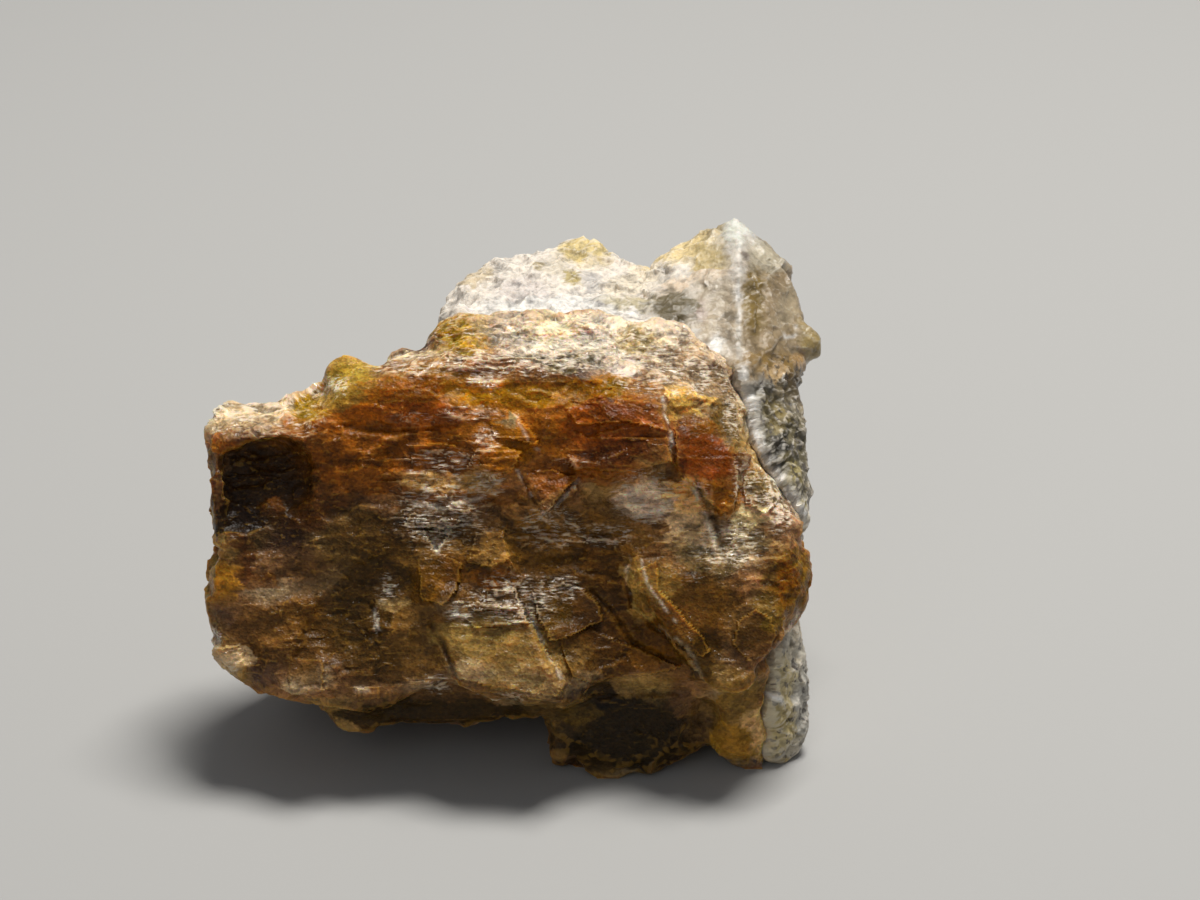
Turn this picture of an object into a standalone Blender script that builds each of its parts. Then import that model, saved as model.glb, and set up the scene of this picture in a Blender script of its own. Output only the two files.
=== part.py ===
"""Rough herderite crystal on its feldspar matrix, about 30 mm wide.

The crystal's broad striated face is modelled flat, in a face frame: X runs right along the face,
Y runs up it and Z points out of it. An empty then leans the whole specimen back onto its feet.
Run with: blender --background --python part.py
"""
import math
import random

import bmesh
import bpy
from mathutils import Matrix, Vector, noise

# ---------------------------------------------------------------- driving dimensions
MM = 0.001
FACE_SLOPE = math.radians(63)    # the broad face rises at this angle from the ground
FACE_SHIFT_X = -0.07             # mm, where the face frame's origin sits in the world
FACE_SHIFT_Y = -6.22
FACE_HEIGHT = 13.8
CONTACT_GAP = 0.4                # mm, crystal to matrix, less what the skin's cells round off
CLEARANCE_CELL = 0.35            # mm, the skin of the shape that cuts the matrix clear
CLEARANCE_KEPT = 0.1

BACK_DISTANCE = 8.0              # mm, from the face's origin to the upright back of the crystal
BACK_SHRINK_X = 0.88             # the back is narrower than the girth
BACK_SHRINK_RIGHT = 0.68         # and more so on the right, where the matrix lies behind it
RIGHT_STARTS = 9.0               # mm
BACK_SHRINK_Y = 0.85
BACK_DROP = 0.4                  # mm, and a little lower
END_INSET = 0.55                 # size of the inner ring that shapes each end
END_ROUGHNESS = 0.6              # mm
END_LUMP = 2.4                   # mm
FACE_BULGE = 0.15                # mm, the face is almost flat
BACK_BULGE = 0.9                 # mm
PLATE_ROOT = -2.0                # mm, how deep a plate is rooted under the face
PLATE_REACH = 3.0                # mm, height of a plate before its top is cleaved

# The rim of the broad face, clockwise from the lip of the left ledge: x, y, z in mm.
FACE_RIM = [
    (-14.6, 3.0, -0.3), (-12.2, 3.5, 0.2), (-9.4, 3.8, 0.1), (-8.5, 5.1, -0.1),
    (-7.7, 5.7, -0.1), (-6.0, 6.0, 0.0), (-2.2, 5.9, 0.1), (0.4, 6.0, 0.2),
    (2.9, 6.0, 0.2), (5.5, 5.8, 0.0), (7.4, 5.4, -0.2), (9.3, 4.8, -0.5),
    (10.8, 3.6, -0.8), (11.4, 1.9, -0.8), (12.2, 0.2, -0.6), (13.2, -1.5, -0.5),
    (13.4, -3.4, -0.3), (13.2, -5.3, -0.4), (12.5, -7.4, -0.8), (10.8, -9.2, -1.0),
    (7.0, -8.5, -1.0), (4.8, -8.5, -0.4), (2.9, -9.6, 0.3), (-0.5, -9.2, 0.4),
    (-3.0, -8.7, 0.3), (-6.4, -9.5, 0.0), (-9.7, -9.6, -0.2), (-11.7, -9.3, -0.4),
    (-13.3, -8.1, -0.6), (-14.3, -6.7, -0.6), (-14.4, -3.6, -0.4), (-14.4, 0.0, -0.5),
]
# The girth behind it, point for point: along the top it is the crest of the sloping brow.
GIRTH = [
    (-15.1, 3.8, -1.2), (-13.6, 4.7, -2.6), (-10.9, 5.2, -2.5), (-9.2, 5.8, -2.3),
    (-8.1, 6.9, -2.2), (-6.0, 7.2, -2.2), (-3.3, 8.1, -2.6), (-1.1, 8.8, -3.0),
    (2.3, 8.8, -3.2), (5.3, 8.5, -3.2), (8.2, 7.9, -3.2), (9.9, 6.9, -3.0),
    (11.3, 5.1, -2.6), (11.9, 2.4, -2.4), (13.2, 0.6, -2.2), (14.4, -1.4, -2.2),
    (15.1, -3.3, -2.2), (14.6, -5.0, -2.2), (13.4, -7.0, -2.2), (11.4, -9.9, -2.6),
    (7.4, -9.6, -2.8), (4.8, -9.6, -2.6), (2.6, -10.2, -2.0), (-0.7, -9.9, -1.8),
    (-3.2, -9.5, -1.6), (-6.6, -9.9, -1.6), (-9.8, -9.8, -1.8), (-12.2, -9.4, -2.0),
    (-13.9, -8.3, -2.2), (-15.0, -7.0, -2.2), (-14.9, -3.6, -2.2), (-14.9, 0.2, -2.0),
]

# Cleavage plates that stand proud of the face: outline, a point on the plate's surface,
# and how fast the surface rises along X and along Y.
PLATES = {
    "honey_wedge": (
        [(-3.9, -6.0), (-1.5, -4.4), (0.5, -5.0), (1.2, -6.6), (2.0, -7.9), (2.8, -9.4),
         (2.5, -9.8), (0.9, -9.8), (-0.5, -9.3), (-2.6, -8.9)],
        (-0.5, -4.6, 0.0), 0.03, -0.24),
    "shell": (
        [(5.6, -2.6), (7.2, -2.2), (10.1, -2.2), (12.0, -2.9), (13.3, -4.3), (13.1, -6.8),
         (11.0, -9.2), (9.6, -9.0), (9.2, -7.8), (7.9, -6.8), (6.4, -5.2)],
        (9.0, -2.2, -0.1), -0.11, -0.17),
    "chip": (
        [(-1.8, 2.1), (-1.1, 3.4), (0.2, 4.1), (0.9, 3.4), (1.25, 2.5), (0.4, 1.4), (-0.9, 1.1)],
        (-0.3, 3.8, 0.35), 0.06, -0.14),
    "red_block": (
        [(2.4, 1.6), (2.2, 4.6), (5.2, 5.2), (7.3, 4.8), (7.8, 3.0), (7.6, 1.5), (5.2, 1.2)],
        (2.8, 4.6, 0.1), 0.11, -0.09),
    "tongue": (
        [(7.9, 3.4), (9.5, 4.2), (10.9, 3.0), (11.2, 0.8), (10.4, -1.0), (9.2, 0.6), (8.0, 1.2)],
        (8.0, 3.4, 0.2), -0.2, -0.14),
    "arrow": (
        [(0.4, 1.3), (3.2, 0.9), (2.5, -0.3), (1.8, -0.9), (1.1, 0.0)],
        (1.8, 1.3, 0.2), 0.0, -0.22),
    "knuckle": (
        [(-4.6, -3.0), (-3.6, -2.6), (-2.2, -2.9), (-2.1, -4.6), (-3.2, -5.4), (-4.5, -4.9)],
        (-3.4, -2.8, 0.1), -0.05, -0.2),
    "olive_step": (
        [(-1.8, -1.5), (-0.2, -1.4), (0.1, -3.2), (-1.0, -3.8), (-2.4, -3.1)],
        (-1.0, -1.5, 0.1), 0.06, -0.2),
    "upper_band": (
        [(-8.4, 4.7), (-7.4, 5.6), (-2.4, 5.8), (2.2, 5.9), (2.2, 4.3), (-1.6, 4.2), (-5.0, 4.0)],
        (-2.0, 5.8, 0.05), 0.0, -0.2),
    "lower_left": (
        [(-12.2, -7.0), (-9.4, -6.6), (-8.6, -8.2), (-8.8, -9.6), (-11.4, -9.4)],
        (-10.4, -6.6, 0.0), 0.08, -0.14),
}

# Hollows cut into the face, as the corners of the chunk that broke out.
RECESS_UNDER_LEDGE = [
    (-14.2, 2.8, 0.8), (-12.4, 3.2, 0.9), (-9.9, 3.2, 0.9), (-8.8, 1.2, 0.9), (-9.2, -2.0, 0.9),
    (-12.2, -3.4, 0.9), (-13.9, -2.8, 0.9), (-13.9, 2.6, -2.4), (-12.6, 3.0, -3.2),
    (-11.0, 2.8, -2.6), (-10.6, 0.6, -1.4), (-13.5, -0.6, -1.6),
]
DARK_TROUGH = [
    (-6.2, -0.8, 0.9), (-2.2, -1.0, 0.9), (4.6, -0.2, 0.9), (5.6, -1.0, 0.9), (5.4, -4.0, 0.9),
    (2.6, -4.6, 0.9), (-5.8, -2.4, 0.9), (-4.6, -1.4, -0.5), (3.6, -1.1, -0.6), (3.4, -3.4, -0.5),
]
TRIANGLE_PIT = [(-4.3, -1.2, 0.6), (-2.9, -1.2, 0.6), (-3.55, -2.6, 0.6), (-3.6, -1.6, -0.7)]

# Lumps joined to the crystal's body, as the corners of each lump.
LOWER_LEDGE = [
    (-9.1, -9.2, -1.2), (-8.4, -11.15, -2.0), (-6.4, -11.0, -1.9), (-3.6, -10.6, -1.8),
    (-0.4, -10.4, -1.7), (2.3, -10.7, -1.8), (2.3, -8.8, -1.2), (-10.2, -9.2, -12.6),
    (-8.8, -9.1, -13.4), (2.0, -9.1, -13.2), (2.0, -7.6, -12.0), (-9.6, -7.6, -12.0),
]
CENTRE_FOOT = [
    (1.7, -8.6, -1.6), (9.3, -8.0, -1.7), (1.6, -10.9, -2.3), (2.3, -12.6, -2.7),
    (3.2, -13.7, -3.0), (4.3, -14.0, -3.1), (5.4, -13.7, -3.1), (7.2, -13.6, -3.2),
    (8.2, -12.9, -3.4), (9.4, -12.2, -3.8), (1.5, -8.0, -11.0), (9.4, -8.0, -11.0),
    (2.4, -11.6, -8.0), (8.4, -11.6, -8.4), (3.2, -10.8, -10.2), (7.6, -10.8, -10.2),
]
RIGHT_FOOT = [
    (9.5, -8.6, -1.5), (12.5, -8.0, -1.6), (10.3, -11.6, -2.6), (10.6, -13.3, -3.9),
    (11.4, -13.6, -4.0), (12.4, -13.7, -4.1), (12.4, -11.0, -2.9), (9.4, -9.0, -9.0),
    (12.0, -9.0, -9.0), (10.2, -12.0, -7.4), (12.0, -12.0, -7.4),
]
CREST_LUMPS = [
    (Vector((-2.6, 7.6, -3.0)), Vector((1.7, 1.3, 1.5))),
    (Vector((-7.8, 5.9, -2.2)), Vector((1.5, 1.1, 1.3))),
    (Vector((-5.6, 6.3, -2.4)), Vector((1.4, 1.1, 1.2))),
    (Vector((0.4, 8.0, -3.6)), Vector((1.9, 1.2, 1.5))),
    (Vector((3.6, 7.7, -3.4)), Vector((2.2, 1.4, 1.6))),
    (Vector((6.6, 7.2, -3.4)), Vector((2.0, 1.4, 1.6))),
    (Vector((9.2, 5.8, -2.8)), Vector((1.6, 1.8, 1.4))),
    (Vector((-12.6, 3.9, -2.4)), Vector((2.2, 0.9, 1.2))),
]

# The matrix: chunks that broke along their own flat faces, as the corners of each.
PLATEAU = [
    (-3.9, 9.0, -6.0), (-3.9, 9.6, -7.6), (-3.2, 10.5, -8.5), (-1.9, 12.0, -10.0),
    (-1.0, 12.6, -11.0), (0.9, 12.7, -12.0), (2.0, 12.4, -12.6), (-2.6, 8.7, -4.4),
    (7.5, 8.7, -4.4), (7.5, 11.9, -12.2), (-3.0, 4.5, -9.0), (-1.5, 3.0, -13.0), (8.0, 2.0, -15.5),
    (8.0, 3.0, -6.5),
]
PLATEAU_PEAK = [
    (1.7, 13.1, -12.5), (2.7, 13.5, -13.0), (3.6, 13.6, -13.0), (4.5, 13.2, -13.0),
    (5.6, 12.4, -12.5), (1.0, 12.0, -10.5), (5.4, 11.6, -10.0), (0.5, 8.0, -14.0),
    (6.0, 8.0, -15.0), (2.5, 10.0, -7.5),
]
QUARTZ_BLOCK = [
    (11.2, 14.6, -11.0), (11.4, 12.9, -8.4), (11.5, 9.0, -4.6), (11.4, 5.6, -2.2),
    (7.8, 12.8, -12.0), (9.5, 13.8, -11.6), (6.6, 10.9, -8.8), (6.9, 7.8, -4.0),
    (12.8, 13.0, -10.5), (14.4, 11.7, -10.0), (14.7, 9.3, -8.5), (14.5, 7.0, -6.5),
    (14.0, 5.1, -5.0), (7.5, 3.0, -15.0), (13.4, 3.5, -14.0), (13.8, 8.5, -13.5), (9.0, 9.5, -15.0),
]
RIGHT_STRIP = [
    (11.3, 5.4, -2.1), (11.8, 2.5, -1.8), (13.2, 0.8, -1.7), (14.3, -1.0, -2.0),
    (14.1, 5.1, -5.0), (13.7, 2.4, -5.2), (14.5, 0.2, -5.0), (14.7, -0.8, -4.8),
    (13.6, 5.0, -13.2), (13.5, -3.0, -12.8), (14.2, -3.0, -7.0), (9.0, 2.0, -9.0),
]
RIGHT_FLANK = [
    (14.5, -2.0, -3.7), (14.2, -6.0, -3.5), (13.6, -2.0, -12.0), (13.4, -7.0, -13.0),
    (13.8, -8.0, -8.0), (10.0, -2.0, -11.0), (10.0, -8.0, -12.0), (12.4, 0.0, -6.0),
]
RIGHT_CRUST = [
    (12.8, -6.8, -2.9), (14.0, -6.6, -4.0), (14.4, -7.4, -5.0), (14.2, -8.9, -5.2),
    (12.5, -9.9, -2.7), (13.6, -9.6, -3.4), (14.6, -11.2, -5.0), (14.1, -12.5, -5.0),
    (13.9, -13.3, -4.7), (12.7, -13.6, -4.1), (12.6, -8.0, -10.5), (13.8, -8.5, -10.5),
    (12.8, -11.4, -8.6), (13.9, -6.0, -8.5), (14.2, -11.0, -8.0),
]
REAR_FOOT = [
    (1.0, -1.5, -9.5), (12.6, 0.0, -7.5), (1.5, 3.0, -13.5), (13.2, 4.0, -14.0),
    (3.6, -7.9, -15.6), (6.5, -8.4, -15.4), (11.8, -8.4, -15.0), (12.8, -7.6, -13.6),
    (4.2, -7.2, -13.0), (13.2, -5.0, -9.0), (13.2, -7.5, -11.0), (6.5, 1.0, -16.4),
]
GRAIN = (Vector((14.9, 8.0, -7.6)), Vector((0.75, 1.0, 0.7)))    # small grain on the right edge

CRYSTAL_CELL = 0.3               # mm, how finely the crystal is skinned before it is faceted
CRYSTAL_KEPT = 0.08              # share of those faces that its shape needs
FACET_SIZE = 3.2                 # mm
FACET_TILT = 0.13                # slope of a steep facet
FACET_STEP = 0.25                # mm, step between neighbours
MATRIX_CELL = 0.45               # mm, how finely the matrix is skinned before it is roughened
MATRIX_KEPT = 0.16               # share of those faces that its shape needs
MATRIX_ROUGHNESS = 0.38          # mm, height of its lumps
MATRIX_LUMP = 2.1                # mm, size of its lumps
CHIP_SEED = 11
BACK_CHIPS = 16                  # flakes broken off the hidden sides


# ---------------------------------------------------------------- helpers
def clear_scene():
    for obj in list(bpy.data.objects):
        bpy.data.objects.remove(obj, do_unlink=True)


def new_collection(name):
    collection = bpy.data.collections.new(name)
    bpy.context.scene.collection.children.link(collection)
    return collection


def add_mesh(name, bm, collection):
    """Turn a bmesh in millimetres into an object."""
    bmesh.ops.recalc_face_normals(bm, faces=bm.faces)
    mesh = bpy.data.meshes.new(name)
    bm.to_mesh(mesh)
    bm.free()
    obj = bpy.data.objects.new(name, mesh)
    collection.objects.link(obj)
    return obj


def hull(name, corners, collection):
    """A chunk of broken stone: the flat faces that span its corners."""
    bm = bmesh.new()
    for corner in corners:
        bm.verts.new(corner)
    bmesh.ops.convex_hull(bm, input=bm.verts)
    loose = [v for v in bm.verts if not v.link_faces]
    bmesh.ops.delete(bm, geom=loose, context="VERTS")
    bmesh.ops.triangulate(bm, faces=bm.faces)
    return add_mesh(name, bm, collection)


def lump(name, centre, size, collection, seed):
    """A knobbly grain: a coarse ball pushed in and out by noise."""
    bm = bmesh.new()
    bmesh.ops.create_icosphere(bm, subdivisions=2, radius=1.0)
    for vert in bm.verts:
        knobble = noise.noise(vert.co * 1.3 + Vector((seed, 0, 0)))
        vert.co = centre + vert.co * size * (1.0 + 0.35 * knobble)
    return add_mesh(name, bm, collection)


def prism(name, outline, low, high, collection):
    """A flat outline filled as a 2D curve and extruded from low to high."""
    curve = bpy.data.curves.new(name, "CURVE")
    curve.dimensions = "2D"
    curve.fill_mode = "BOTH"
    curve.extrude = (high - low) / 2
    spline = curve.splines.new("POLY")
    spline.points.add(len(outline) - 1)
    for point, (x, y) in zip(spline.points, outline):
        point.co = (x, y, 0, 1)
    spline.use_cyclic_u = True
    guide = bpy.data.objects.new(name, curve)
    collection.objects.link(guide)
    guide.location.z = (high + low) / 2
    bpy.context.view_layer.update()
    depsgraph = bpy.context.evaluated_depsgraph_get()
    mesh = bpy.data.meshes.new_from_object(guide.evaluated_get(depsgraph))
    mesh.transform(guide.matrix_world)
    bpy.data.objects.remove(guide, do_unlink=True)
    bm = bmesh.new()
    bm.from_mesh(mesh)
    bmesh.ops.remove_doubles(bm, verts=bm.verts, dist=0.0001)
    bpy.data.meshes.remove(mesh)
    return add_mesh(name, bm, collection)


def cleave(obj, point, normal):
    """Split off everything beyond a plane and leave a flat face."""
    bm = bmesh.new()
    bm.from_mesh(obj.data)
    geometry = bm.verts[:] + bm.edges[:] + bm.faces[:]
    cut = bmesh.ops.bisect_plane(bm, geom=geometry, dist=0.001, plane_co=point,
                                 plane_no=normal, clear_outer=True)
    rim = [e for e in cut["geom_cut"] if isinstance(e, bmesh.types.BMEdge) and e.is_boundary]
    bmesh.ops.holes_fill(bm, edges=rim, sides=0)
    bmesh.ops.triangulate(bm, faces=bm.faces)
    bmesh.ops.recalc_face_normals(bm, faces=bm.faces)
    bm.to_mesh(obj.data)
    bm.free()


def join(target, tool, operation):
    """Join or cut with the exact solver, then drop the tool."""
    modifier = target.modifiers.new(operation.lower(), "BOOLEAN")
    modifier.operation = operation
    modifier.solver = "EXACT"
    modifier.object = tool
    bake(target)
    bpy.data.objects.remove(tool, do_unlink=True)


def bake(obj):
    """Apply an object's modifiers to its mesh."""
    bpy.context.view_layer.update()
    depsgraph = bpy.context.evaluated_depsgraph_get()
    mesh = bpy.data.meshes.new_from_object(obj.evaluated_get(depsgraph))
    obj.modifiers.clear()
    old = obj.data
    obj.data = mesh
    bpy.data.meshes.remove(old)


def tidy(obj):
    """Weld boolean slivers and make every face a triangle."""
    bm = bmesh.new()
    bm.from_mesh(obj.data)
    bmesh.ops.remove_doubles(bm, verts=bm.verts, dist=0.02)
    bmesh.ops.dissolve_degenerate(bm, edges=bm.edges, dist=0.02)
    bmesh.ops.triangulate(bm, faces=bm.faces)
    bm.to_mesh(obj.data)
    bm.free()


def material(name, colour, roughness, transmission):
    mat = bpy.data.materials.new(name)
    mat.use_nodes = True
    shader = mat.node_tree.nodes["Principled BSDF"]
    shader.inputs["Base Color"].default_value = (*colour, 1)
    shader.inputs["Roughness"].default_value = roughness
    shader.inputs["Metallic"].default_value = 0.0
    shader.inputs["Transmission Weight"].default_value = transmission
    return mat


# ---------------------------------------------------------------- the crystal
def back_ring():
    """The girth drawn in and set back to an upright plane behind it."""
    ring = []
    for x, y, _ in GIRTH:
        shrink = BACK_SHRINK_RIGHT if x > RIGHT_STARTS else BACK_SHRINK_X
        y_back = y * BACK_SHRINK_Y - BACK_DROP
        z_back = (y_back * math.cos(FACE_SLOPE) - BACK_DISTANCE) / math.sin(FACE_SLOPE)
        ring.append((x * shrink, y_back, z_back))
    return ring


def middle_ring():
    """A belt half way back. It is full on the left, and on the right it makes room for matrix."""
    ring = []
    for girth, back in zip(GIRTH, back_ring()):
        share = 0.8 if girth[0] > RIGHT_STARTS else 0.32
        x = girth[0] + (back[0] - girth[0]) * share
        ring.append((x, girth[1] * 0.7 + back[1] * 0.3, girth[2] * 0.5 + back[2] * 0.5))
    return ring


def inner_ring(ring, bulge):
    """Half the size of an end ring, and a little rough: it makes that end a broken, shallow dome."""
    centre = ring_centre(ring)
    points = []
    for x, y, z in ring:
        point = centre.lerp(Vector((x, y, z)), END_INSET)
        point.z += bulge + END_ROUGHNESS * noise.noise(point / END_LUMP)
        points.append(point)
    return points


def ring_centre(ring):
    return sum((Vector(p) for p in ring), Vector()) / len(ring)


def loft(name, rings, collection):
    """Skin from ring to ring, point for point, and close both ends onto a middle point."""
    bm = bmesh.new()
    loops = [[bm.verts.new(p) for p in ring] for ring in rings]
    count = len(rings[0])
    for first, second in zip(loops, loops[1:]):
        for i in range(count):
            j = (i + 1) % count
            bm.faces.new((first[i], first[j], second[j], second[i]))
    for ring, loop in ((rings[0], loops[0]), (rings[-1], loops[-1])):
        middle = bm.verts.new(ring_centre(ring))
        for i in range(count):
            bm.faces.new((loop[i], loop[(i + 1) % count], middle))
    bmesh.ops.triangulate(bm, faces=bm.faces)
    return add_mesh(name, bm, collection)


def make_crystal(collection, cutters):
    back = back_ring()
    rings = [inner_ring(FACE_RIM, FACE_BULGE), FACE_RIM, GIRTH, middle_ring(), back,
             inner_ring(back, -BACK_BULGE)]
    crystal = loft("herderite_crystal", rings, collection)
    break_hidden_sides(crystal)
    join(crystal, hull("trough", DARK_TROUGH, cutters), "DIFFERENCE")
    for name, corners in (("ledge", LOWER_LEDGE), ("foot", CENTRE_FOOT), ("foot", RIGHT_FOOT)):
        join(crystal, hull(name, corners, cutters), "UNION")
    for name, (outline, point, rise_x, rise_y) in PLATES.items():
        plate = prism(name, outline, PLATE_ROOT, PLATE_REACH, cutters)
        cleave(plate, point, (-rise_x, -rise_y, 1))
        join(crystal, plate, "UNION")
    for number, (centre, size) in enumerate(CREST_LUMPS):
        join(crystal, lump("crest_lump", centre, size, cutters, number), "UNION")
    join(crystal, hull("recess", RECESS_UNDER_LEDGE, cutters), "DIFFERENCE")
    join(crystal, hull("pit", TRIANGLE_PIT, cutters), "DIFFERENCE")
    facet(crystal)
    return crystal


def facet(obj):
    """Break the surface into flat facets: each cell of a scattered pattern tilts its own way."""
    reskin(obj, CRYSTAL_CELL, 1.0)
    bm = bmesh.new()
    bm.from_mesh(obj.data)
    bm.normal_update()
    for vert in bm.verts:
        _, seeds = noise.voronoi(vert.co / FACET_SIZE)
        seed = seeds[0] * FACET_SIZE
        tilt = noise.cell_vector(seed * 3.7) * 2 - Vector((1, 1, 1))
        height = tilt.dot(vert.co - seed) * FACET_TILT + noise.noise(seed * 5.3) * FACET_STEP
        vert.co += vert.normal * height
    bm.to_mesh(obj.data)
    bm.free()
    reskin(obj, CRYSTAL_CELL, CRYSTAL_KEPT)


def break_hidden_sides(obj):
    """Knock flat flakes off the back edges, where they point away from the face."""
    rng = random.Random(CHIP_SEED)
    for _ in range(BACK_CHIPS):
        angle = rng.uniform(0, 2 * math.pi)
        direction = Vector((math.cos(angle), math.sin(angle), -rng.uniform(0.5, 1.3))).normalized()
        corner = max((v.co for v in obj.data.vertices), key=lambda co: co.dot(direction))
        cleave(obj, corner - direction * rng.uniform(0.4, 1.1), direction)


# ---------------------------------------------------------------- the matrix
def reskin(obj, cell, kept):
    """Wrap an object in one even skin, then drop the faces that its shape can spare."""
    skin = obj.modifiers.new("skin", "REMESH")
    skin.mode = "VOXEL"
    skin.voxel_size = cell
    bake(obj)
    put_in_order(obj)
    fewer = obj.modifiers.new("fewer", "DECIMATE")
    fewer.ratio = kept
    bake(obj)


def place_key(co):
    return co.x + 100 * co.y + 10000 * co.z


def put_in_order(obj):
    """Sort points and faces by place, so that every run thins out the same ones."""
    bm = bmesh.new()
    bm.from_mesh(obj.data)
    for vert in bm.verts:
        vert.co = Vector(round(c, 3) for c in vert.co)
    bm.verts.sort(key=lambda v: place_key(v.co))
    bm.faces.sort(key=lambda f: sum(place_key(v.co) for v in f.verts))
    bm.to_mesh(obj.data)
    bm.free()


def grown_copy(obj, distance, collection):
    """The same shape, evenly skinned and pushed outward, to cut its neighbour clear of it."""
    copy = bpy.data.objects.new("clearance", obj.data.copy())
    collection.objects.link(copy)
    reskin(copy, CLEARANCE_CELL, 1.0)
    grow = copy.modifiers.new("grow", "DISPLACE")
    grow.mid_level = 0.0
    grow.strength = distance
    bake(copy)
    reskin(copy, CLEARANCE_CELL, CLEARANCE_KEPT)
    return copy


def roughen(obj):
    """Push an even skin in and out, as broken feldspar is."""
    reskin(obj, MATRIX_CELL, 1.0)
    bm = bmesh.new()
    bm.from_mesh(obj.data)
    bm.normal_update()
    for vert in bm.verts:
        height = noise.noise(vert.co / MATRIX_LUMP) + 0.5 * noise.noise(vert.co / (0.45 * MATRIX_LUMP))
        vert.co += vert.normal * height * MATRIX_ROUGHNESS
    bm.to_mesh(obj.data)
    bm.free()
    reskin(obj, MATRIX_CELL, MATRIX_KEPT)


def make_matrix(crystal, collection, cutters):
    matrix = hull("feldspar_matrix", PLATEAU, collection)
    chunks = (PLATEAU_PEAK, QUARTZ_BLOCK, RIGHT_STRIP, RIGHT_FLANK, RIGHT_CRUST, REAR_FOOT)
    for corners in chunks:
        join(matrix, hull("chunk", corners, cutters), "UNION")
    centre, size = GRAIN
    join(matrix, lump("grain", centre, size, cutters, 3), "UNION")
    roughen(matrix)
    join(matrix, grown_copy(crystal, CONTACT_GAP, cutters), "DIFFERENCE")
    return matrix


def keep_largest(obj):
    """Drop the crumbs that a cut leaves behind."""
    bm = bmesh.new()
    bm.from_mesh(obj.data)
    left = set(bm.verts)
    groups = []
    while left:
        stack = [left.pop()]
        group = set(stack)
        while stack:
            for edge in stack.pop().link_edges:
                for vert in edge.verts:
                    if vert in left:
                        left.remove(vert)
                        group.add(vert)
                        stack.append(vert)
        groups.append(group)
    groups.sort(key=len, reverse=True)
    for crumb in groups[1:]:
        bmesh.ops.delete(bm, geom=list(crumb), context="VERTS")
    bm.to_mesh(obj.data)
    bm.free()


# ---------------------------------------------------------------- the specimen
def stand_up(objects, collection):
    """Hang both pieces on an empty that leans the face back and sets the feet on the ground."""
    rest = bpy.data.objects.new("rest_attitude", None)
    collection.objects.link(rest)
    rest.rotation_euler.x = FACE_SLOPE
    rest.location = Vector((FACE_SHIFT_X, FACE_SHIFT_Y, FACE_HEIGHT)) * MM
    for obj in objects:
        obj.data.transform(Matrix.Scale(MM, 4))
        obj.parent = rest
    return rest


def flatten_feet(obj):
    """Cut the feet level where the specimen stands."""
    turn = Matrix.Rotation(FACE_SLOPE, 4, "X")
    down = turn.inverted() @ Vector((0, 0, -1))
    cleave(obj, down * FACE_HEIGHT, down)


def main():
    clear_scene()
    pieces = new_collection("herderite_specimen")
    cutters = new_collection("cutters")
    crystal = make_crystal(pieces, cutters)
    matrix = make_matrix(crystal, pieces, cutters)
    for obj in (crystal, matrix):
        flatten_feet(obj)
        keep_largest(obj)
        tidy(obj)
    crystal.data.materials.append(material("honey_herderite", (0.30, 0.12, 0.03), 0.3, 0.3))
    matrix.data.materials.append(material("cream_feldspar", (0.74, 0.67, 0.55), 0.6, 0.0))
    stand_up((crystal, matrix), pieces)
    report_box((crystal, matrix))


def report_box(objects):
    bpy.context.view_layer.update()
    corners = [obj.matrix_world @ v.co for obj in objects for v in obj.data.vertices]
    low = [min(c[axis] for c in corners) / MM for axis in range(3)]
    high = [max(c[axis] for c in corners) / MM for axis in range(3)]
    print("box in mm:", [round(x, 3) for x in low], [round(x, 3) for x in high])
    for obj in objects:
        print(obj.name, "triangles:", len(obj.data.polygons))


main()
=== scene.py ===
# %% [markdown]
# # A rough herderite crystal on its feldspar matrix
# The real thing is a broken honey-brown crystal, 30 mm wide, that still holds a piece of the
# cream feldspar and grey quartz it grew with. Both stones are glassy or sugary, full of steps,
# cracks and stains. The frame gives their true size and main planes. This lesson gives each
# stone a fine broken skin, paints its stains in code and lights it like a small studio shot.

import math

import bmesh
import bpy
import numpy as np
from mathutils import Matrix, Vector, noise
from mathutils.bvhtree import BVHTree


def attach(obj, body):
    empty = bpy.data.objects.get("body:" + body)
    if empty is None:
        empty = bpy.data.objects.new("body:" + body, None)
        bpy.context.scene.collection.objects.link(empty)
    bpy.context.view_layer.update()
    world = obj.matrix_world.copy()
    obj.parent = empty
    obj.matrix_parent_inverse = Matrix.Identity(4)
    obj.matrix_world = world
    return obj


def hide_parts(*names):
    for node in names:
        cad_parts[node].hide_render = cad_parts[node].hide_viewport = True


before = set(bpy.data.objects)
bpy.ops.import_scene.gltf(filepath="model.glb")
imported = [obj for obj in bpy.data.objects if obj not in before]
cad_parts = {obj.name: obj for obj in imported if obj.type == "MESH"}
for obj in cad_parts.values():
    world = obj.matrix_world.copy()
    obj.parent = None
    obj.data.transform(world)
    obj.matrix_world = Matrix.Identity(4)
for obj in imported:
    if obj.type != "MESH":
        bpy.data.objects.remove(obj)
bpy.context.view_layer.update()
print("stones in the frame:", sorted(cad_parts))

# %% [markdown]
# ## Places on the specimen
# The crystal's broad face leans back from the ground. Every stain and step lies on that face, so
# places are easier to give in a frame of its own: X to the right along the face, Y up it and Z
# out of it, all in millimetres. Measuring in world space would work too, but each place would
# then need three awkward numbers. Two small functions go from one frame to the other.

# %% The face frame
MM = 0.001
FACE_SLOPE = math.radians(63)
FACE_ORIGIN = Vector((-0.07, -6.22, 13.8)) * MM
FACE_FRAME = Matrix.Translation(FACE_ORIGIN) @ Matrix.Rotation(FACE_SLOPE, 4, "X")
TURN = np.array(FACE_FRAME.to_3x3())


def to_face(points):
    """World points, in metres, as places on the face, in millimetres."""
    return (points - np.array(FACE_ORIGIN)) @ TURN / MM


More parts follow.
